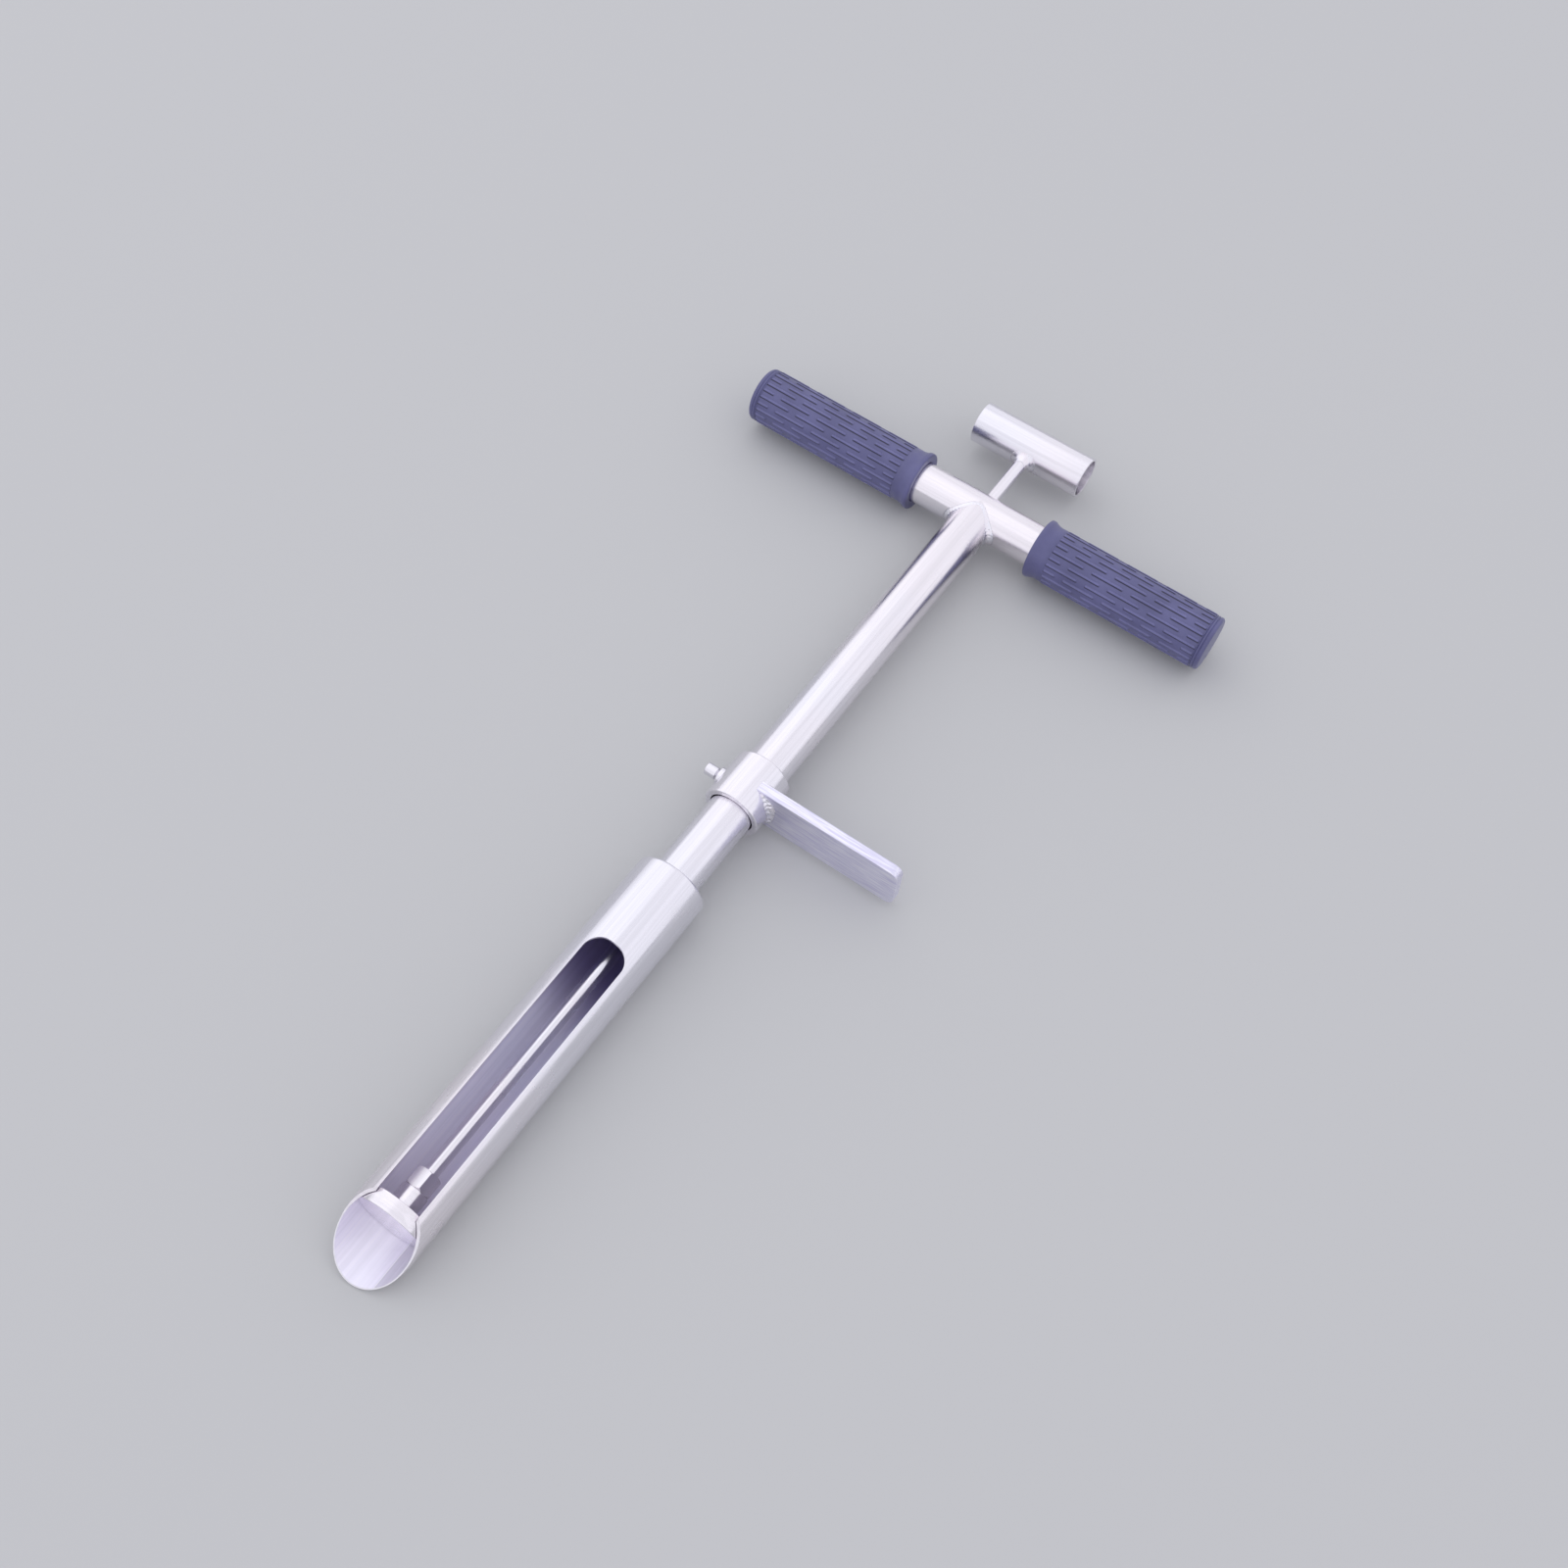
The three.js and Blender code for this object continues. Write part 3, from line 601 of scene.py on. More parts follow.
def geometry_group(name, sizes):
    """An empty Geometry Nodes group with a named input for each size."""
    group = bpy.data.node_groups.new(name, "GeometryNodeTree")
    group.interface.new_socket("Geometry", in_out="INPUT", socket_type="NodeSocketGeometry")
    for size, kind in sizes.items():
        group.interface.new_socket(size, in_out="INPUT", socket_type=f"NodeSocket{kind}")
    group.interface.new_socket("Geometry", in_out="OUTPUT", socket_type="NodeSocketGeometry")
    tree = Tree(group)
    source = group.nodes.new("NodeGroupInput")
    return group, tree, {socket.name: Link(tree, socket) for socket in source.outputs if socket.name}


def close_group(tree, blank, height, material, way=None):
    """Ends a group: the blank's points move out by a height, along a way or else their normals."""
    way = way or tree.add("GeometryNodeInputNormal")
    offset = tree.add("ShaderNodeVectorMath", {"operation": "SCALE"}, {0: way, "Scale": height})
    moved = tree.add("GeometryNodeSetPosition", None, {"Geometry": blank, "Offset": offset})
    realized = tree.add("GeometryNodeRealizeInstances", None, {"Geometry": moved})
    painted = tree.add("GeometryNodeSetMaterial", None, {"Geometry": realized, "Material": material})
    tree.add("NodeGroupOutput", None, {"Geometry": painted})


def shape_by(piece, group, sizes):
    """Runs the group on the piece with these sizes, and keeps the result as its plain mesh."""
    modifier = piece.modifiers.new(group.name, "NODES")
    modifier.node_group = group
    for socket in group.interface.items_tree:
        if socket.in_out == "INPUT" and socket.name in sizes:
            modifier[socket.identifier] = sizes[socket.name]
    whole = piece.evaluated_get(bpy.context.evaluated_depsgraph_get())
    piece.data = bpy.data.meshes.new_from_object(whole)
    piece.modifiers.clear()
    return piece


def weld_metal():
    """Bright weld metal: satin like the tubes, faintly tinted in patches, with a few dark pits."""
    material, tree = blank_material("weld_metal")
    place = tree.add("ShaderNodeTexCoord", None, None, "Object")
    patches = tree.noise(place, 190.0, 3.0)
    grit = tree.noise(place, 1800.0, 3.0)
    pits = tree.noise(place, 520.0, 1.0)
    tone = tree.mix(tree.ramp(patches, 0.42, 0.7), WELD_BRIGHT, WELD_TINTED)
    tree.coat({
        "Base Color": tree.mix(tree.ramp(pits, 0.73, 0.80), tone, WELD_PIT),
        "Metallic": 1.0,
        "Roughness": 0.16 + 0.24 * grit,
        "Normal": tree.relief(grit, 0.35, 0.00006),
    })
    return material


def weld_ripple_group():
    """Ripples across a bead, bowed like stacked coins, and lumps of a larger noise."""
    group, tree, size = geometry_group("weld_ripples", {
        "Ripple Spacing": "Float",
        "Ripple Height": "Float",
        "Lump Height": "Float",
        "Lump Scale": "Float",
        "Seed": "Float",
        "Material": "Material",
    })
    named = {"data_type": "FLOAT"}
    along = tree.add("GeometryNodeInputNamedAttribute", named, {"Name": "along"})
    across = tree.add("GeometryNodeInputNamedAttribute", named, {"Name": "across"})
    bowed = along - RIPPLE_BOW * (2 * across - 1) * (2 * across - 1)
    wave = bowed.math("SINE", bowed / size["Ripple Spacing"] * (2 * math.pi))
    lumps = tree.add(
        "ShaderNodeTexNoise",
        {"noise_dimensions": "4D"},
        {"W": size["Seed"], "Scale": size["Lump Scale"], "Detail": 2.0},
    )
    hold = 4 * across * (1 - across)
    height = hold * (wave * size["Ripple Height"] + (lumps - 0.5) * 2 * size["Lump Height"])
    close_group(tree, size["Geometry"], height, size["Material"])
    return group


ALONG_X = np.array((1, 0, 0))
ALONG_Y = np.array((0, 1, 0))


def round_face(along, radius, centre_x=0.0):
    """The nearest point on a tube along X or Y through the tool's axis, and the normal there."""
    centre = (centre_x, 0, AXIS_Z)

    def nearest(points):
        out = points * (1 - along) - centre
        normal = out / np.linalg.norm(out, axis=1, keepdims=True)
        return points * along + centre + normal * radius, normal
    return nearest


def flat_x(x, side):
    """The nearest point on a flat face across X, and its normal towards one side."""
    def nearest(points):
        return points * (0, 1, 1) + (x, 0, 0), np.tile((side, 0.0, 0.0), (len(points), 1))
    return nearest


def nearest_rows(found, wanted):
    """For each found point, the index of the wanted point that it came from."""
    lookup = {}
    for index, point in enumerate(wanted):
        lookup.setdefault(tuple(np.round(point / MERGE / 2).astype(int)), index)
    order = []
    for point in found:
        key = tuple(np.round(point / MERGE / 2).astype(int))
        if key in lookup:
            order.append(lookup[key])
        else:
            order.append(int(np.argmin(np.sum((wanted - point) ** 2, axis=1))))
    return np.array(order)


def seam_round(angles, radius, x):
    """Points of a seam at these angles round a tube along X, at one x or each at its own."""
    along = np.broadcast_to(x, angles.shape)
    return np.stack([along, radius * np.cos(angles), AXIS_Z + radius * np.sin(angles)], axis=1)


weld_bright = weld_metal()
weld_ripples = weld_ripple_group()


def weld(name, seam, first, second, legs, swell, ripple, closed=True, sections=14):
    """A fillet along a seam between two surfaces. Legs are how far it reaches on them at each
    point of the seam, swell is its fullness, and ripple holds the sizes for the ripple group."""
    ahead = np.roll(seam, -1, axis=0) if closed else np.vstack([seam[1:], 2 * seam[-1] - seam[-2]])
    behind = np.roll(seam, 1, axis=0) if closed else np.vstack([2 * seam[0] - seam[1], seam[:-1]])
    along = (ahead - behind) / np.linalg.norm(ahead - behind, axis=1, keepdims=True)
    (_, normal_1), (_, normal_2) = first(seam), second(seam)
    legs = np.asarray(legs)[:, None]
    feet = []
    for surface, normal, other in ((first, normal_1, normal_2), (second, normal_2, normal_1)):
        aside = np.cross(along, normal)
        aside *= np.sign(np.sum(aside * other))
        feet.append(surface(seam + aside * legs)[0])
    outward = normal_1 + normal_2
    outward /= np.linalg.norm(outward, axis=1, keepdims=True)
    fullness = swell * legs / legs.max()
    crest = seam + outward * fullness
    shares = np.linspace(0, 1, sections)
    rows = [(1 - s) ** 2 * feet[0] + 2 * s * (1 - s) * crest + s**2 * feet[1] for s in shares]
    rows.append(seam - outward * np.minimum(WELD_SINK, legs))
    points = np.stack(rows, axis=1)
    if closed:
        points = np.concatenate([points, points[:1]])
    steps = np.linalg.norm(ahead - seam, axis=1)
    travelled = np.concatenate([[0], np.cumsum(steps)])[: len(points)]
    faces = grid_faces(points.shape[0], points.shape[1], 0, closed=True)
    piece = mesh_piece(name, points.reshape(-1, 3), faces, weld_bright, crease=180.0)
    found = np.array([v.co for v in piece.data.vertices])
    order = nearest_rows(found, points.reshape(-1, 3))
    values = {
        "along": np.repeat(travelled, points.shape[1])[order],
        "across": np.tile(np.append(shares, 0.0), points.shape[0])[order],
    }
    for label, numbers in values.items():
        spots = piece.data.attributes.new(label, "FLOAT", "POINT")
        spots.data.foreach_set("value", numbers.astype(np.float32))
    return shape_by(piece, weld_ripples, {**ripple, "Material": weld_bright})


turns = np.linspace(0, 2 * math.pi, 300, endpoint=False)
shoulder_weld = weld(
    "shoulder_weld",
    seam_round(turns, SHAFT_RADIUS, SHOULDER_X),
    round_face(ALONG_X, SHAFT_RADIUS),
    flat_x(SHOULDER_X, 1.0),
    np.full(len(turns), SHOULDER_LEG),
    SHOULDER_SWELL,
    {
        "Ripple Spacing": 0.0014,
        "Ripple Height": 0.00004,
        "Lump Height": 0.0001,
        "Lump Scale": 300.0,
        "Seed": 3.0,
    },
)
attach(shoulder_weld, "frame")
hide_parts("shaft_weld")

turns = np.linspace(0, 2 * math.pi, 420, endpoint=False)
saddle_z = SHAFT_RADIUS * np.sin(turns)
saddle_depth = np.sqrt(HANDLE_RADIUS**2 - saddle_z**2 + SADDLE_EASE**2 * np.sin(turns) ** 4)
crotch = np.cos(turns) ** 6
saddle_weld = weld(
    "saddle_weld",
    seam_round(turns, SHAFT_RADIUS, HANDLE_X - saddle_depth),
    round_face(ALONG_X, SHAFT_RADIUS),
    round_face(ALONG_Y, HANDLE_RADIUS, HANDLE_X),
    SADDLE_TOP_LEG + (SADDLE_SIDE_LEG - SADDLE_TOP_LEG) * crotch,
    SADDLE_SWELL,
    {
        "Ripple Spacing": 0.0019,
        "Ripple Height": 0.00005,
        "Lump Height": 0.0002,
        "Lump Scale": 190.0,
        "Seed": 8.0,
    },
)
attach(saddle_weld, "frame")
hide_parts("handle_weld")

# Rubber grips
# Two dark slate sleeves moulded in soft rubber and pushed on the cross tube. Each has a flared
# lip, a slightly sunk panel with 24 rows of short raised ribs, every other row shifted by half,
# two ring grooves and a closed end.
GRIP_LENGTH = 0.1135
GRIP_RADIUS = 0.0164
LIP_RADIUS = 0.0179
LIP_LENGTH = 0.0024
LIP_EDGE = 0.0011
LIP_FLARE = 0.0050
MOUTH_EDGE = 0.0008
PANEL_START = 0.0115
PANEL_END = 0.00505
PANEL_DEPTH = 0.0004
PANEL_STEP = 0.0003
RING_SETBACK = 0.0036
RING_SPACE = 0.0017
RING_HALF = 0.000612
RING_DEPTH = 0.0005
END_ROUNDING = 0.0022
RIB_ROWS = 24
RIBS_PER_ROW = 4
RIB_SPACE = 0.0051
RIB_WIDTH = 0.0017
RIB_HEIGHT = 0.0007
RIB_SIDE_SHARES = (0.0, 0.35, 0.62, 0.85, 0.96, 1.03, 1.25, 1.7)
RIB_END_REACH = 0.00119
PANEL_ROW = 0.0014
ROW_MARGIN = 0.0001
RUBBER_DARK = (0.090, 0.090, 0.205, 1)
RUBBER_PALE = (0.175, 0.175, 0.375, 1)
RUBBER_PAINTED_SHADE = (0.020, 0.018, 0.045, 1)
RUBBER_SPECK = (0.30, 0.29, 0.42, 1)


def rubber():
    """Moulded slate rubber: fine matt grain, worn paler in patches and on the ribs, with a soft
    gloss, and a painted shade along one foot of each rib."""
    material, tree = blank_material("grip_rubber")
    place = tree.add("ShaderNodeTexCoord", None, None, "Object")
    grain = tree.noise(place, 1500.0, 3.0)
    patches = tree.noise(place, 55.0, 4.0)
    root = tree.add("ShaderNodeAttribute", {"attribute_name": "root"}, None, "Fac")
    crest = tree.add("ShaderNodeAttribute", {"attribute_name": "crest"}, None, "Fac")
    worn = 0.5 * tree.ramp(patches, 0.2, 0.9) + 0.5 * crest
    tone = tree.mix(worn, RUBBER_DARK, RUBBER_PALE)
    specked = tree.mix(tree.ramp(grain, 0.66, 0.74, 0.0, 0.25), tone, RUBBER_SPECK)
    tree.coat({
        # Painted shade: the base colour turns dark along one foot of each rib, where the rib's shadow
        # falls.
        "Base Color": tree.mix(root, specked, RUBBER_PAINTED_SHADE),
        "Roughness": 0.32 + 0.14 * patches,
        "Normal": tree.relief(grain, 0.45, 0.00008),
        "Sheen Weight": 0.1,
        "Sheen Roughness": 0.4,
    })
    return material


def about_axis(tree, size):
    """Where each point lies about an axis along Y: across it, along it, above it and out from it."""
    spot = tree.add("GeometryNodeInputPosition")
    x, y, z = (tree.add("ShaderNodeSeparateXYZ", None, {0: spot}, axis) for axis in "XYZ")
    x = x - size["Axis X"]
    z = z - size["Axis Z"]
    return x, y, z, x.math("SQRT", x * x + z * z)


def grip_rib_group():
    """Rows of short round ribs raised on a turned blank that lies along Y."""
    group, tree, size = geometry_group("grip_ribs", {
        "Axis X": "Float",
        "Axis Z": "Float",
        "Radius": "Float",
        "Start": "Float",
        "End": "Float",
        "Rows": "Float",
        "First Row": "Float",
        "Pitch": "Float",
        "Space": "Float",
        "Width": "Float",
        "Height": "Float",
        "Material": "Material",
    })
    x, y, z, reach = about_axis(tree, size)
    turned_by = x.math("ARCTAN2", z, x) / (2 * math.pi) * size["Rows"] + 2 * size["Rows"]
    row = x.math("ROUND", turned_by)
    beside = (turned_by - row) * (2 * math.pi) * size["Radius"] / size["Rows"]
    aside = x.math("ABSOLUTE", beside)
    placed = x.math("ABSOLUTE", y) - size["Start"]
    shifted = placed + x.math("MODULO", row + size["First Row"], 2.0) * size["Pitch"] * 0.5
    within = x.math("FLOORED_MODULO", shifted, size["Pitch"])
    half_length = (size["Pitch"] - size["Space"]) * 0.5
    half_panel = (size["End"] - size["Start"]) * 0.5
    half_width = size["Width"] * 0.5
    past_end = x.math("ABSOLUTE", within - half_length) - half_length
    past_panel = x.math("ABSOLUTE", placed - half_panel) - half_panel
    beyond = x.math("MAXIMUM", x.math("MAXIMUM", past_end, past_panel) + half_width, 0.0)
    across = x.math("SQRT", beyond * beyond + aside * aside) / half_width
    rise = x.math("MAXIMUM", 1.0 - across * across, 0.0)
    skin = tree.ramp(reach, size["Radius"] * 0.9, size["Radius"] * 0.96)
    side = beside / half_width
    # The root mark is painted shade on one foot of each rib only, which the rubber darkens.
    foot = tree.ramp(side, 0.62, 0.88) * tree.ramp(side, 1.2, 1.7, 1.0, 0.0)
    marked = size["Geometry"]
    for label, value in (("root", foot * tree.ramp(across, 1.2, 1.7, 1.0, 0.0)), ("crest", rise)):
        marked = tree.add(
            "GeometryNodeStoreNamedAttribute",
            {"data_type": "FLOAT", "domain": "POINT"},
            {"Geometry": marked, "Name": label, "Value": value * skin},
        )
    outward = tree.add("ShaderNodeCombineXYZ", None, {"X": x / reach, "Z": z / reach})
    close_group(tree, marked, rise * skin * size["Height"], size["Material"], outward)
    return group


def make_grip(name, side, first_row, material):
    """A grip's blank, turned with closer rows and columns where the ribs lie, then ribbed."""
    outer_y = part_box("grip_left")[1].y
    lip_y = outer_y - GRIP_LENGTH
    start, end = lip_y + PANEL_START, outer_y - PANEL_END
    pitch = (end - start + RIB_SPACE) / RIBS_PER_ROW
    bore = HANDLE_RADIUS + FIT
    tube_end = HANDLE_HALF + FIT
    lip_rise = LIP_RADIUS - GRIP_RADIUS
    flare = [
        (lip_y + LIP_LENGTH + LIP_FLARE * share, GRIP_RADIUS + lip_rise * (1 - share) ** 2)
        for share in np.linspace(0, 1, 9)
    ]
    sunk = GRIP_RADIUS - PANEL_DEPTH
    tips = np.arange(start, end + pitch, pitch / 2)
    close = np.linspace(0, RIB_END_REACH, 8)
    spots = [np.arange(start, end, PANEL_ROW), tips[:, None] + close, tips[:, None] - RIB_SPACE - close]
    spots = np.unique(np.round(np.concatenate([s.ravel() for s in spots]), 5))
    free = (spots > start + ROW_MARGIN) & (spots < end - ROW_MARGIN)
    panel_rows = [(y, sunk) for y in spots[free]]
    ring_y = outer_y - RING_SETBACK
    rings = []
    for middle in (ring_y - RING_SPACE / 2, ring_y + RING_SPACE / 2):
        for share in np.linspace(-1, 1, 7):
            depth = RING_DEPTH * math.cos(share * math.pi / 2) ** 2
            rings.append((middle + share * RING_HALF, GRIP_RADIUS - depth))
    lip = rounded([
        (tube_end, bore, 0),
        (lip_y, bore, MOUTH_EDGE),
        (lip_y, LIP_RADIUS, LIP_EDGE),
        (lip_y + LIP_LENGTH, LIP_RADIUS, 0),
    ])
    closed_end = rounded([
        (rings[-1][0], GRIP_RADIUS, 0),
        (outer_y, GRIP_RADIUS, END_ROUNDING),
        (outer_y, 0.0, 0),
    ])
    step_in = [(start - PANEL_STEP, GRIP_RADIUS), (start, sunk)]
    step_out = [(end, sunk), (end + PANEL_STEP, GRIP_RADIUS)]
    outline = lip + flare[1:] + step_in + panel_rows + step_out + rings + closed_end[1:]
    outline.append((tube_end, 0.0))
    turn = 2 * math.pi / RIB_ROWS
    half = RIB_WIDTH / 2 / (GRIP_RADIUS * turn)
    beside = np.array(RIB_SIDE_SHARES) * half
    shares = np.unique(np.concatenate([-beside, beside, [0.5]]))
    angles = np.array([(row + share) * turn for row in range(RIB_ROWS) for share in shares])
    outline = [(along * side, radius) for along, radius in outline]
    piece = turned(name, "Y", outline, (HANDLE_X, 0, AXIS_Z), material, angles=angles, crease=60.0)
    return shape_by(piece, grip_ribs, {
        "Axis X": HANDLE_X,
        "Axis Z": AXIS_Z,
        "Radius": GRIP_RADIUS,
        "Start": start,
        "End": end,
        "Rows": float(RIB_ROWS),
        "First Row": first_row,
        "Pitch": pitch,
        "Space": RIB_SPACE,
        "Width": RIB_WIDTH,
        "Height": RIB_HEIGHT,
        "Material": material,
    })


slate_rubber = rubber()
grip_ribs = grip_rib_group()
for side, hand, first_row in ((1, "left", 1.0), (-1, "right", 0.0)):
    grip = make_grip(f"rubber_grip_{hand}", side, first_row, slate_rubber)
    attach(grip, "frame")
    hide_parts(f"grip_{hand}")

# Ejector disc
# A turned stainless disc, in one piece with its hub, which pushes the core out of the barrel.
# The rod is screwed into its blind bore.
DISC_THICKNESS = 0.008
DISC_EDGE = 0.0005
HUB_RADIUS = 0.0073
HUB_EDGE = 0.0004
HUB_FLOOR = 0.004
ROD_RADIUS = 0.004
ROD_PLAY = 0.0002
ROD_LEAD = 0.0003

disc_low, disc_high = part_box("ejector_disc")
disc_radius = (disc_high.z - disc_low.z) / 2
push_disc = turned(
    "push_disc",
    "X",
    rounded([
        (disc_low.x, 0.0, 0),
        (disc_low.x, disc_radius, DISC_EDGE),
        (disc_low.x + DISC_THICKNESS, disc_radius, DISC_EDGE),
        (disc_low.x + DISC_THICKNESS, HUB_RADIUS, HUB_EDGE),
        (disc_high.x, HUB_RADIUS, HUB_EDGE),
        (disc_high.x, ROD_RADIUS + ROD_PLAY, ROD_LEAD),
        (disc_low.x + HUB_FLOOR, ROD_RADIUS + ROD_PLAY, 0),
        (disc_low.x + HUB_FLOOR, 0.0, 0),
    ]),
    (0, 0, AXIS_Z),
    steel("disc_steel", "Y"),
)
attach(push_disc, "ejector_foot")
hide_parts("ejector_disc")

# Lock nut
# A six-sided stainless nut, 13 mm across its flats, on the rod's thread and tight against the
# hub. Its corners are turned off at both ends.
NUT_FLAT = 0.0065
NUT_FACE = 0.00637
NUT_TURN = math.radians(20)
NUT_SLOPE = math.radians(40)

nut_low, nut_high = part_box("lock_nut")


def nut_chamfer(points):
    """A trim that turns the nut's corners off at both ends, and turns the nut on the rod."""
    reach = np.linalg.norm(points[..., 1:], axis=-1)
    slope = np.maximum(reach - NUT_FLAT, 0) * math.tan(NUT_SLOPE)
    trimmed = points.copy()
    trimmed[..., 0] = np.clip(points[..., 0], nut_low.x + slope, nut_high.x - slope)
    c, s = math.cos(NUT_TURN), math.sin(NUT_TURN)
    trimmed[..., 1] = c * points[..., 1] - s * points[..., 2]
    trimmed[..., 2] = s * points[..., 1] + c * points[..., 2]
    return trimmed


hex_nut = turned(
    "hex_nut",
    "X",
    [
        (nut_low.x, ROD_RADIUS + ROD_PLAY),
        (nut_low.x, NUT_FACE),
        (nut_low.x, NUT_FLAT, 6),
        (nut_high.x, NUT_FLAT, 6),
        (nut_high.x, NUT_FACE),
        (nut_high.x, ROD_RADIUS + ROD_PLAY),
    ],
    (0, 0, AXIS_Z),
    steel("nut_steel", "X"),
    steps=144,
    trim=nut_chamfer,
)
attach(hex_nut, "ejector")
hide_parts("lock_nut")

# Ejector rod
# A bright drawn rod of stainless steel, 8 mm across. It is screwed into the hub below, slides
# in the bush, and is coped and welded to the pull handle above.
ROD_POINT = 0.0006
PULL_RADIUS = 0.0125

PULL_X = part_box("ejector_handle")[0].x + PULL_RADIUS
rod_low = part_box("ejector_rod")[0]
bright_rod = turned(
    "bright_rod",
    "X",
    rounded([
        (rod_low.x, 0.0, 0),
        (rod_low.x, ROD_RADIUS, ROD_POINT),
        (PULL_X, ROD_RADIUS, 0),
        (PULL_X, 0.0, 0),
    ]),
    (0, 0, AXIS_Z),
    steel("rod_steel", "X"),
    steps=96,
    trim=coped(PULL_X, PULL_RADIUS),
)
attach(bright_rod, "ejector")
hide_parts("ejector_rod")

# Pull handle
# A short piece of the same thin tube as the handle, open at both ends, with its cut edges
# broken. It is welded across the rod's end.
PULL_WALL = 0.0015
PULL_EDGE = 0.0004
PULL_BORE_EDGE = 0.0002
PULL_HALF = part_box("ejector_handle")[1].y

pull_tube = turned(
    "pull_tube",
    "Y",
    rounded([
        (-PULL_HALF, PULL_RADIUS - PULL_WALL, PULL_BORE_EDGE),
        (-PULL_HALF, PULL_RADIUS, PULL_EDGE),
        (PULL_HALF, PULL_RADIUS, PULL_EDGE),
        (PULL_HALF, PULL_RADIUS - PULL_WALL, PULL_BORE_EDGE),
    ], steps=4),
    (PULL_X, 0, AXIS_Z),
    steel("pull_steel", "Y"),
)
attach(pull_tube, "ejector")
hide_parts("ejector_handle")

# Pull handle weld
# A smooth hollow fillet all round the rod, brushed bright after welding. It fixes the pull
# handle to the rod.
PULL_LEG = 0.0042
PULL_SWELL = 0.0001

turns = np.linspace(0, 2 * math.pi, 240, endpoint=False)
rod_z = ROD_RADIUS * np.sin(turns)
pull_weld = weld(
    "pull_weld",
    seam_round(turns, ROD_RADIUS, PULL_X - np.sqrt(PULL_RADIUS**2 - rod_z**2)),
    round_face(ALONG_X, ROD_RADIUS),
    round_face(ALONG_Y, PULL_RADIUS, PULL_X),
    np.full(len(turns), PULL_LEG),
    PULL_SWELL,
    {
        "Ripple Spacing": 0.0016,
        "Ripple Height": 0.00001,
        "Lump Height": 0.00006,
        "Lump Scale": 240.0,
        "Seed": 5.0,
    },
)
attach(pull_weld, "ejector")
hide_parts("ejector_weld")

# Foot step collar
# A turned stainless collar that slides on the shaft with half a millimetre of play all round.
# The screw's hole in its left side isn't cut here, because screw and boss cover it.
COLLAR_WALL = 0.0035
COLLAR_EDGE = 0.001
COLLAR_LEAD = 0.0008

collar_low, collar_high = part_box("step_collar")
COLLAR_RADIUS = (collar_high.z - collar_low.z) / 2
COLLAR_BORE = COLLAR_RADIUS - COLLAR_WALL
STEP_X = (collar_low.x + collar_high.x) / 2

slide_collar = turned(
    "slide_collar",
    "X",
    rounded([
        (collar_low.x, COLLAR_BORE, COLLAR_LEAD),
        (collar_low.x, COLLAR_RADIUS, COLLAR_EDGE),
        (collar_high.x, COLLAR_RADIUS, COLLAR_EDGE),
        (collar_high.x, COLLAR_BORE, COLLAR_LEAD),
    ]),
    (0, 0, AXIS_Z),
    steel("collar_steel", "X"),
)
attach(slide_collar, "foot_step")
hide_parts("step_collar")

# Foot bar
# Stainless flat bar on edge, 30 by 6 mm, brushed along its length, with rounded outer corners.
# Its inner end is coped to the collar.
STEP_CORNER = 0.005
STEP_EDGE = 0.0006
BAR_GREY = (0.70, 0.68, 0.86, 1)
BAR_BRIGHT = (0.92, 0.91, 1.0, 1)

bar_low, bar_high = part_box("foot_bar")


def brushed_bar():
    """Flat bar brushed by hand: short strokes along Y, crossed here and there, lavender grey."""
    material, tree = blank_material("brushed_bar")
    place = tree.add("ShaderNodeTexCoord", None, None, "Object")

    def strokes(angle, along, across, detail):
        return tree.noise(place, (across, along, across), detail, (math.radians(angle), 0, 0))

    main = strokes(2.0, 60.0, 1300.0, 3.0)
    broad = strokes(-4.0, 25.0, 420.0, 2.0)
    crossed = strokes(12.0, 90.0, 1200.0, 2.0)
    patches = tree.noise(place, 70.0, 3.0)
    lines = main + 0.25 * (broad - 0.5) + 0.4 * (crossed - 0.5) * tree.ramp(patches, 0.5, 0.62)
    tree.coat({
        "Base Color": tree.mix(tree.ramp(lines, 0.32, 0.68), BAR_GREY, BAR_BRIGHT),
        "Metallic": 1.0,
        "Roughness": 0.32 + 0.10 * patches,
        "Normal": tree.relief(lines, 0.3, 0.00005),
    })
    return material


def make_foot_bar(material):
    """The bar's outline, seen along the tool, drawn out to its thickness."""
    half = (bar_high.z - bar_low.z) / 2
    quarter = np.linspace(0, math.pi / 2, 10)
    reach, inner = bar_low.y + STEP_CORNER, half - STEP_CORNER
    root = math.asin(half / COLLAR_RADIUS)
    mouth = np.linspace(-root, root, 25)
    outline = [(-COLLAR_RADIUS * math.cos(a), COLLAR_RADIUS * math.sin(a)) for a in mouth]
    outline += [(reach - STEP_CORNER * math.sin(a), inner + STEP_CORNER * math.cos(a)) for a in quarter]
    outline += [(reach - STEP_CORNER * math.cos(a), -inner - STEP_CORNER * math.sin(a)) for a in quarter]
    count = len(outline)
    points = [(x, y, z + AXIS_Z) for x in (bar_low.x, bar_high.x) for y, z in outline]
    faces = [tuple(range(count)), tuple(range(2 * count - 1, count - 1, -1))]
    faces += [(j, (j + 1) % count, count + (j + 1) % count, count + j) for j in range(count)]
    piece = mesh_piece("tread_bar", points, faces, material)
    return break_edges(piece, STEP_EDGE, segments=3)


tread_bar = make_foot_bar(brushed_bar())
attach(tread_bar, "foot_step")
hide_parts("foot_bar")

# Foot bar welds
# Lumpy beads of stainless weld metal, laid by hand. One on each broad face of the bar fixes it
# to the collar.
STEP_LEG = 0.0034
STEP_SWELL = 0.0012
STEP_SWEEP = math.radians(54)
STEP_WANDER = 0.16
LEAST_LEG = 0.00001

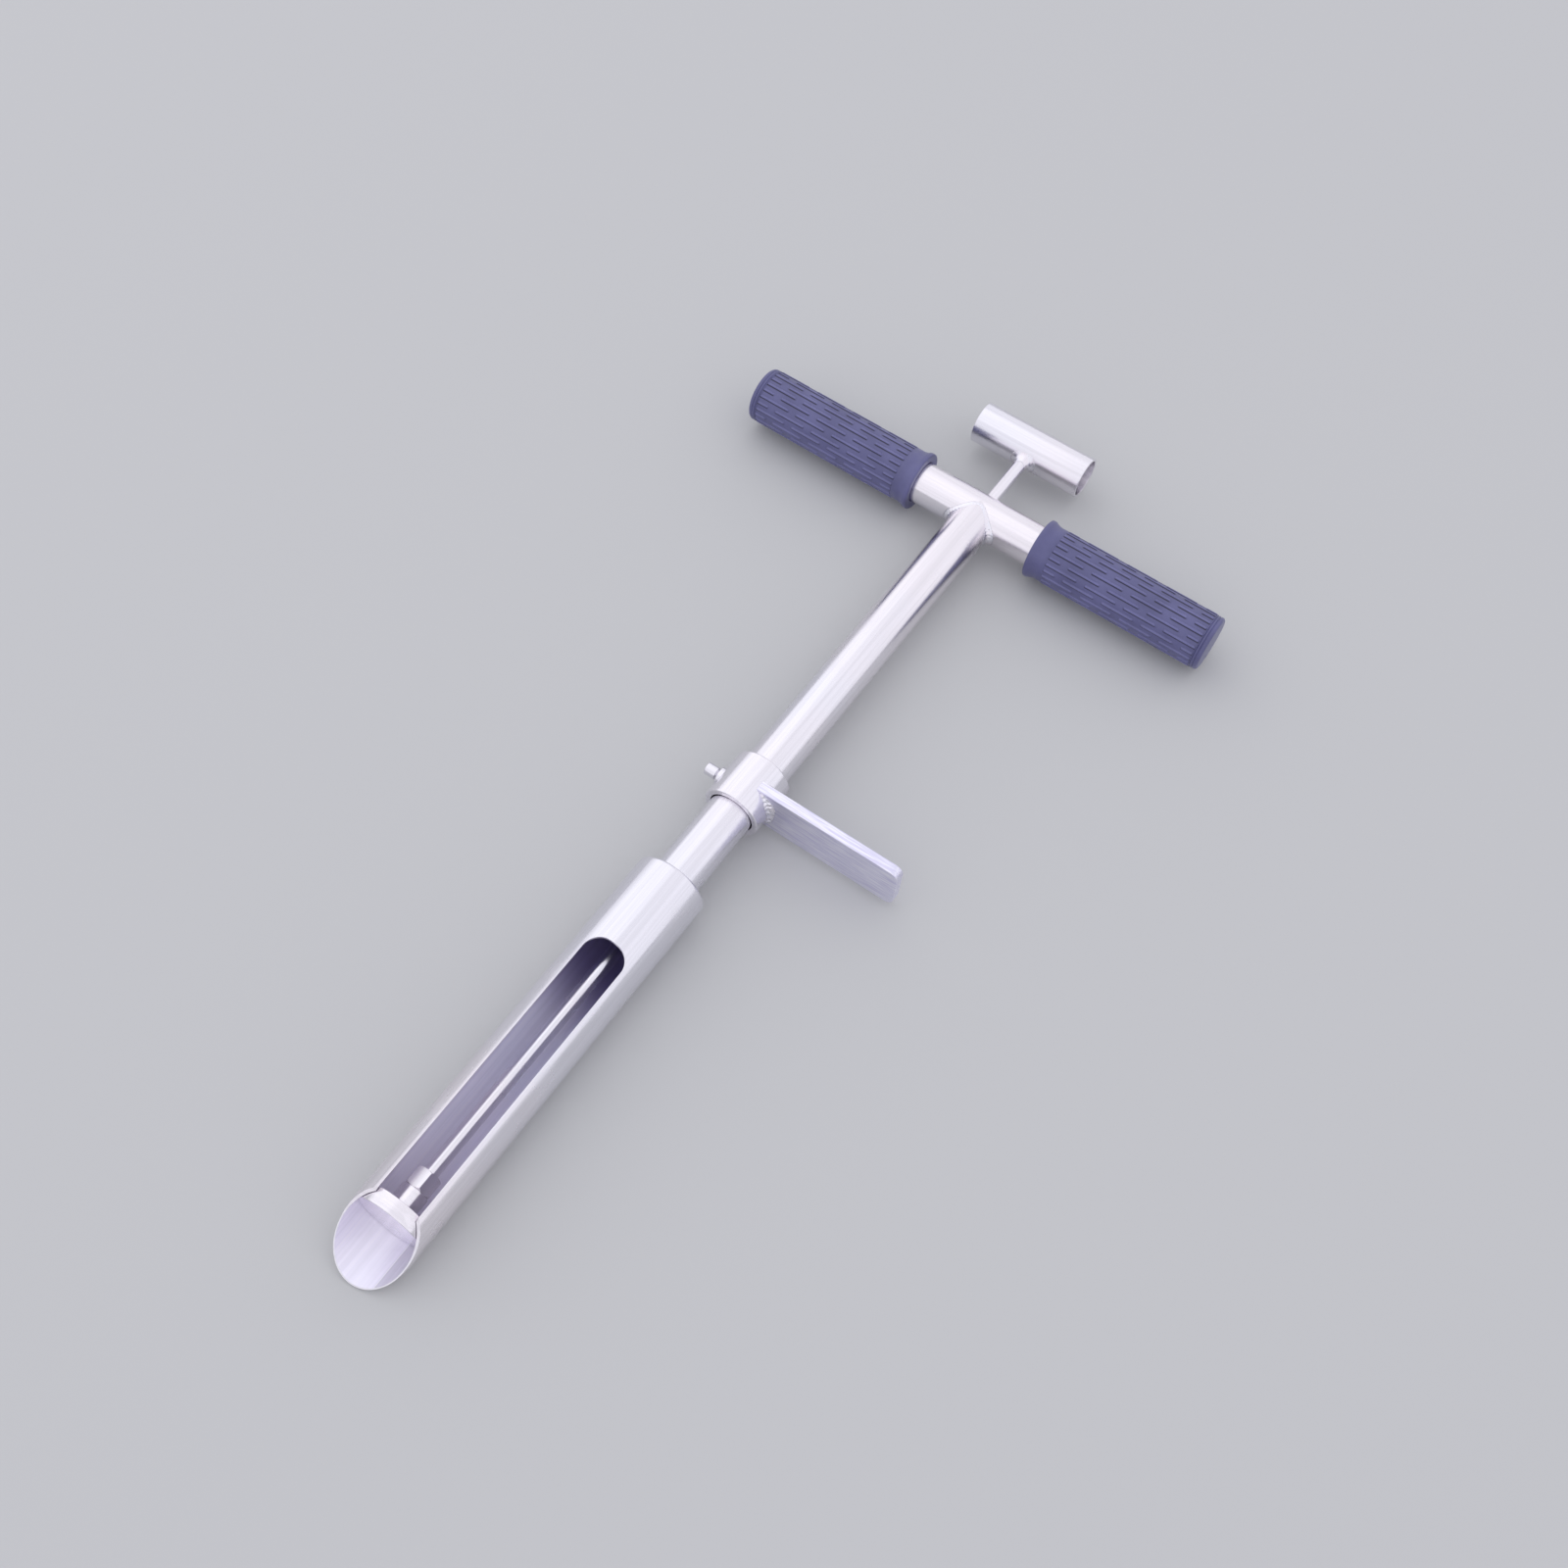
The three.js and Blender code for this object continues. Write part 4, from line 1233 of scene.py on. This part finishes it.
for side, place, node in ((-1, bar_low.x, "step_weld_front"), (1, bar_high.x, "step_weld_back")):
    sweep = np.linspace(-STEP_SWEEP, STEP_SWEEP, 150)
    taper = np.sqrt(np.clip(1 - (sweep / STEP_SWEEP) ** 2, 0, 1))
    wander = 1 + STEP_WANDER * np.sin(7 * sweep + side)
    bead = weld(
        f"{node}_bead",
        seam_round(math.pi - sweep, COLLAR_RADIUS, place),
        flat_x(place, float(side)),
        round_face(ALONG_X, COLLAR_RADIUS),
        np.maximum(STEP_LEG * taper * wander, LEAST_LEG),
        STEP_SWELL,
        {
            "Ripple Spacing": 0.0026,
            "Ripple Height": 0.00012,
            "Lump Height": 0.0016,
            "Lump Scale": 330.0,
            "Seed": 12.0 + side,
        },
        closed=False,
    )
    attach(bead, "foot_step")
    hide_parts(node)

# Clamp boss
# A low round steel boss at the foot of the screw, flat on top and fixed to the collar. The
# screw runs in its hole.
BOSS_SINK = 0.0025
BOSS_EDGE = 0.0004
SCREW_RADIUS = 0.0025
SCREW_PLAY = 0.0001
SCREW_LEAD = 0.0003

boss_low, boss_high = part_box("clamp_boss")
BOSS_RADIUS = (boss_high.z - boss_low.z) / 2

screw_boss = turned(
    "screw_boss",
    "Y",
    rounded([
        (COLLAR_RADIUS - BOSS_SINK, SCREW_RADIUS + SCREW_PLAY, 0),
        (COLLAR_RADIUS - BOSS_SINK, BOSS_RADIUS, 0),
        (boss_high.y, BOSS_RADIUS, BOSS_EDGE),
        (boss_high.y, SCREW_RADIUS + SCREW_PLAY, SCREW_LEAD),
    ], steps=4),
    (STEP_X, 0, AXIS_Z),
    steel("boss_steel", "X"),
    steps=72,
)
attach(screw_boss, "foot_step")
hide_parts("clamp_boss")

# Clamp screw
# A 5 mm steel screw with a small round head and a six-sided socket. Its point bears on the
# shaft and holds the foot step where it is set.
SCREW_HEAD_RADIUS = 0.0035
SCREW_HEAD_EDGE = 0.0009
SCREW_NECK = 0.0016
SCREW_POINT = 0.0008
SOCKET_FLAT = 0.0015
SOCKET_MOUTH = 0.001875
SOCKET_EDGE = 0.0001
SOCKET_LEAD = 0.0002
SOCKET_DEPTH = 0.0032
SOCKET_POINT = 0.0006
THREAD_PITCH = 0.0008
THREAD_DEPTH = 0.00042
THREAD_START = 0.0009
THREAD_ROW = 0.00008
THREAD_RUN_IN = 0.0004
THREAD_RUN_OUT = 0.0003

screw_low, screw_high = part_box("clamp_screw")


def thread_group():
    """A thread cut into a round blank along Y: its radius follows a ramp along a helix."""
    group, tree, size = geometry_group("screw_thread", {
        "Axis X": "Float",
        "Axis Z": "Float",
        "Radius": "Float",
        "Pitch": "Float",
        "Depth": "Float",
        "From": "Float",
        "To": "Float",
        "Material": "Material",
    })
    x, y, z, reach = about_axis(tree, size)
    phase = y / size["Pitch"] + x.math("ARCTAN2", z, x) / (2 * math.pi)
    flank = x.math("PINGPONG", phase, 0.5) * 2
    begun = tree.ramp(y, size["From"], size["From"] + THREAD_RUN_IN)
    inside = begun * tree.ramp(y, size["To"] - THREAD_RUN_OUT, size["To"], 1.0, 0.0)
    skin = tree.ramp(reach, size["Radius"] * 0.8, size["Radius"] * 0.98)
    close_group(tree, size["Geometry"], flank * inside * skin * size["Depth"] * -1.0, size["Material"])
    return group


head_y = boss_high.y + SCREW_NECK
screw_steel = steel("screw_steel", "Y")
clamp_bolt = turned(
    "clamp_bolt",
    "Y",
    rounded([
        (screw_low.y, 0.0, 0),
        (screw_low.y, SCREW_RADIUS, SCREW_POINT),
    ], steps=3)
    + [(y, SCREW_RADIUS) for y in np.arange(screw_low.y + THREAD_START, head_y, THREAD_ROW)]
    + rounded([
        (head_y, SCREW_RADIUS, 0),
        (head_y, SCREW_HEAD_RADIUS, SCREW_LEAD),
        (screw_high.y, SCREW_HEAD_RADIUS, SCREW_HEAD_EDGE),
        (screw_high.y, SOCKET_MOUTH, SOCKET_EDGE),
    ])
    + [
        (screw_high.y - SOCKET_LEAD, SOCKET_FLAT, 6),
        (screw_high.y - SOCKET_DEPTH, SOCKET_FLAT, 6),
        (screw_high.y - SOCKET_DEPTH - SOCKET_POINT, 0.0),
    ],
    (STEP_X, 0, AXIS_Z),
    screw_steel,
    steps=96,
    crease=25.0,
)
shape_by(clamp_bolt, thread_group(), {
    "Axis X": STEP_X,
    "Axis Z": AXIS_Z,
    "Radius": SCREW_RADIUS,
    "Pitch": THREAD_PITCH,
    "Depth": THREAD_DEPTH,
    "From": screw_low.y + SCREW_POINT,
    "To": head_y,
    "Material": screw_steel,
})
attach(clamp_bolt, "screw")
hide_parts("clamp_screw")
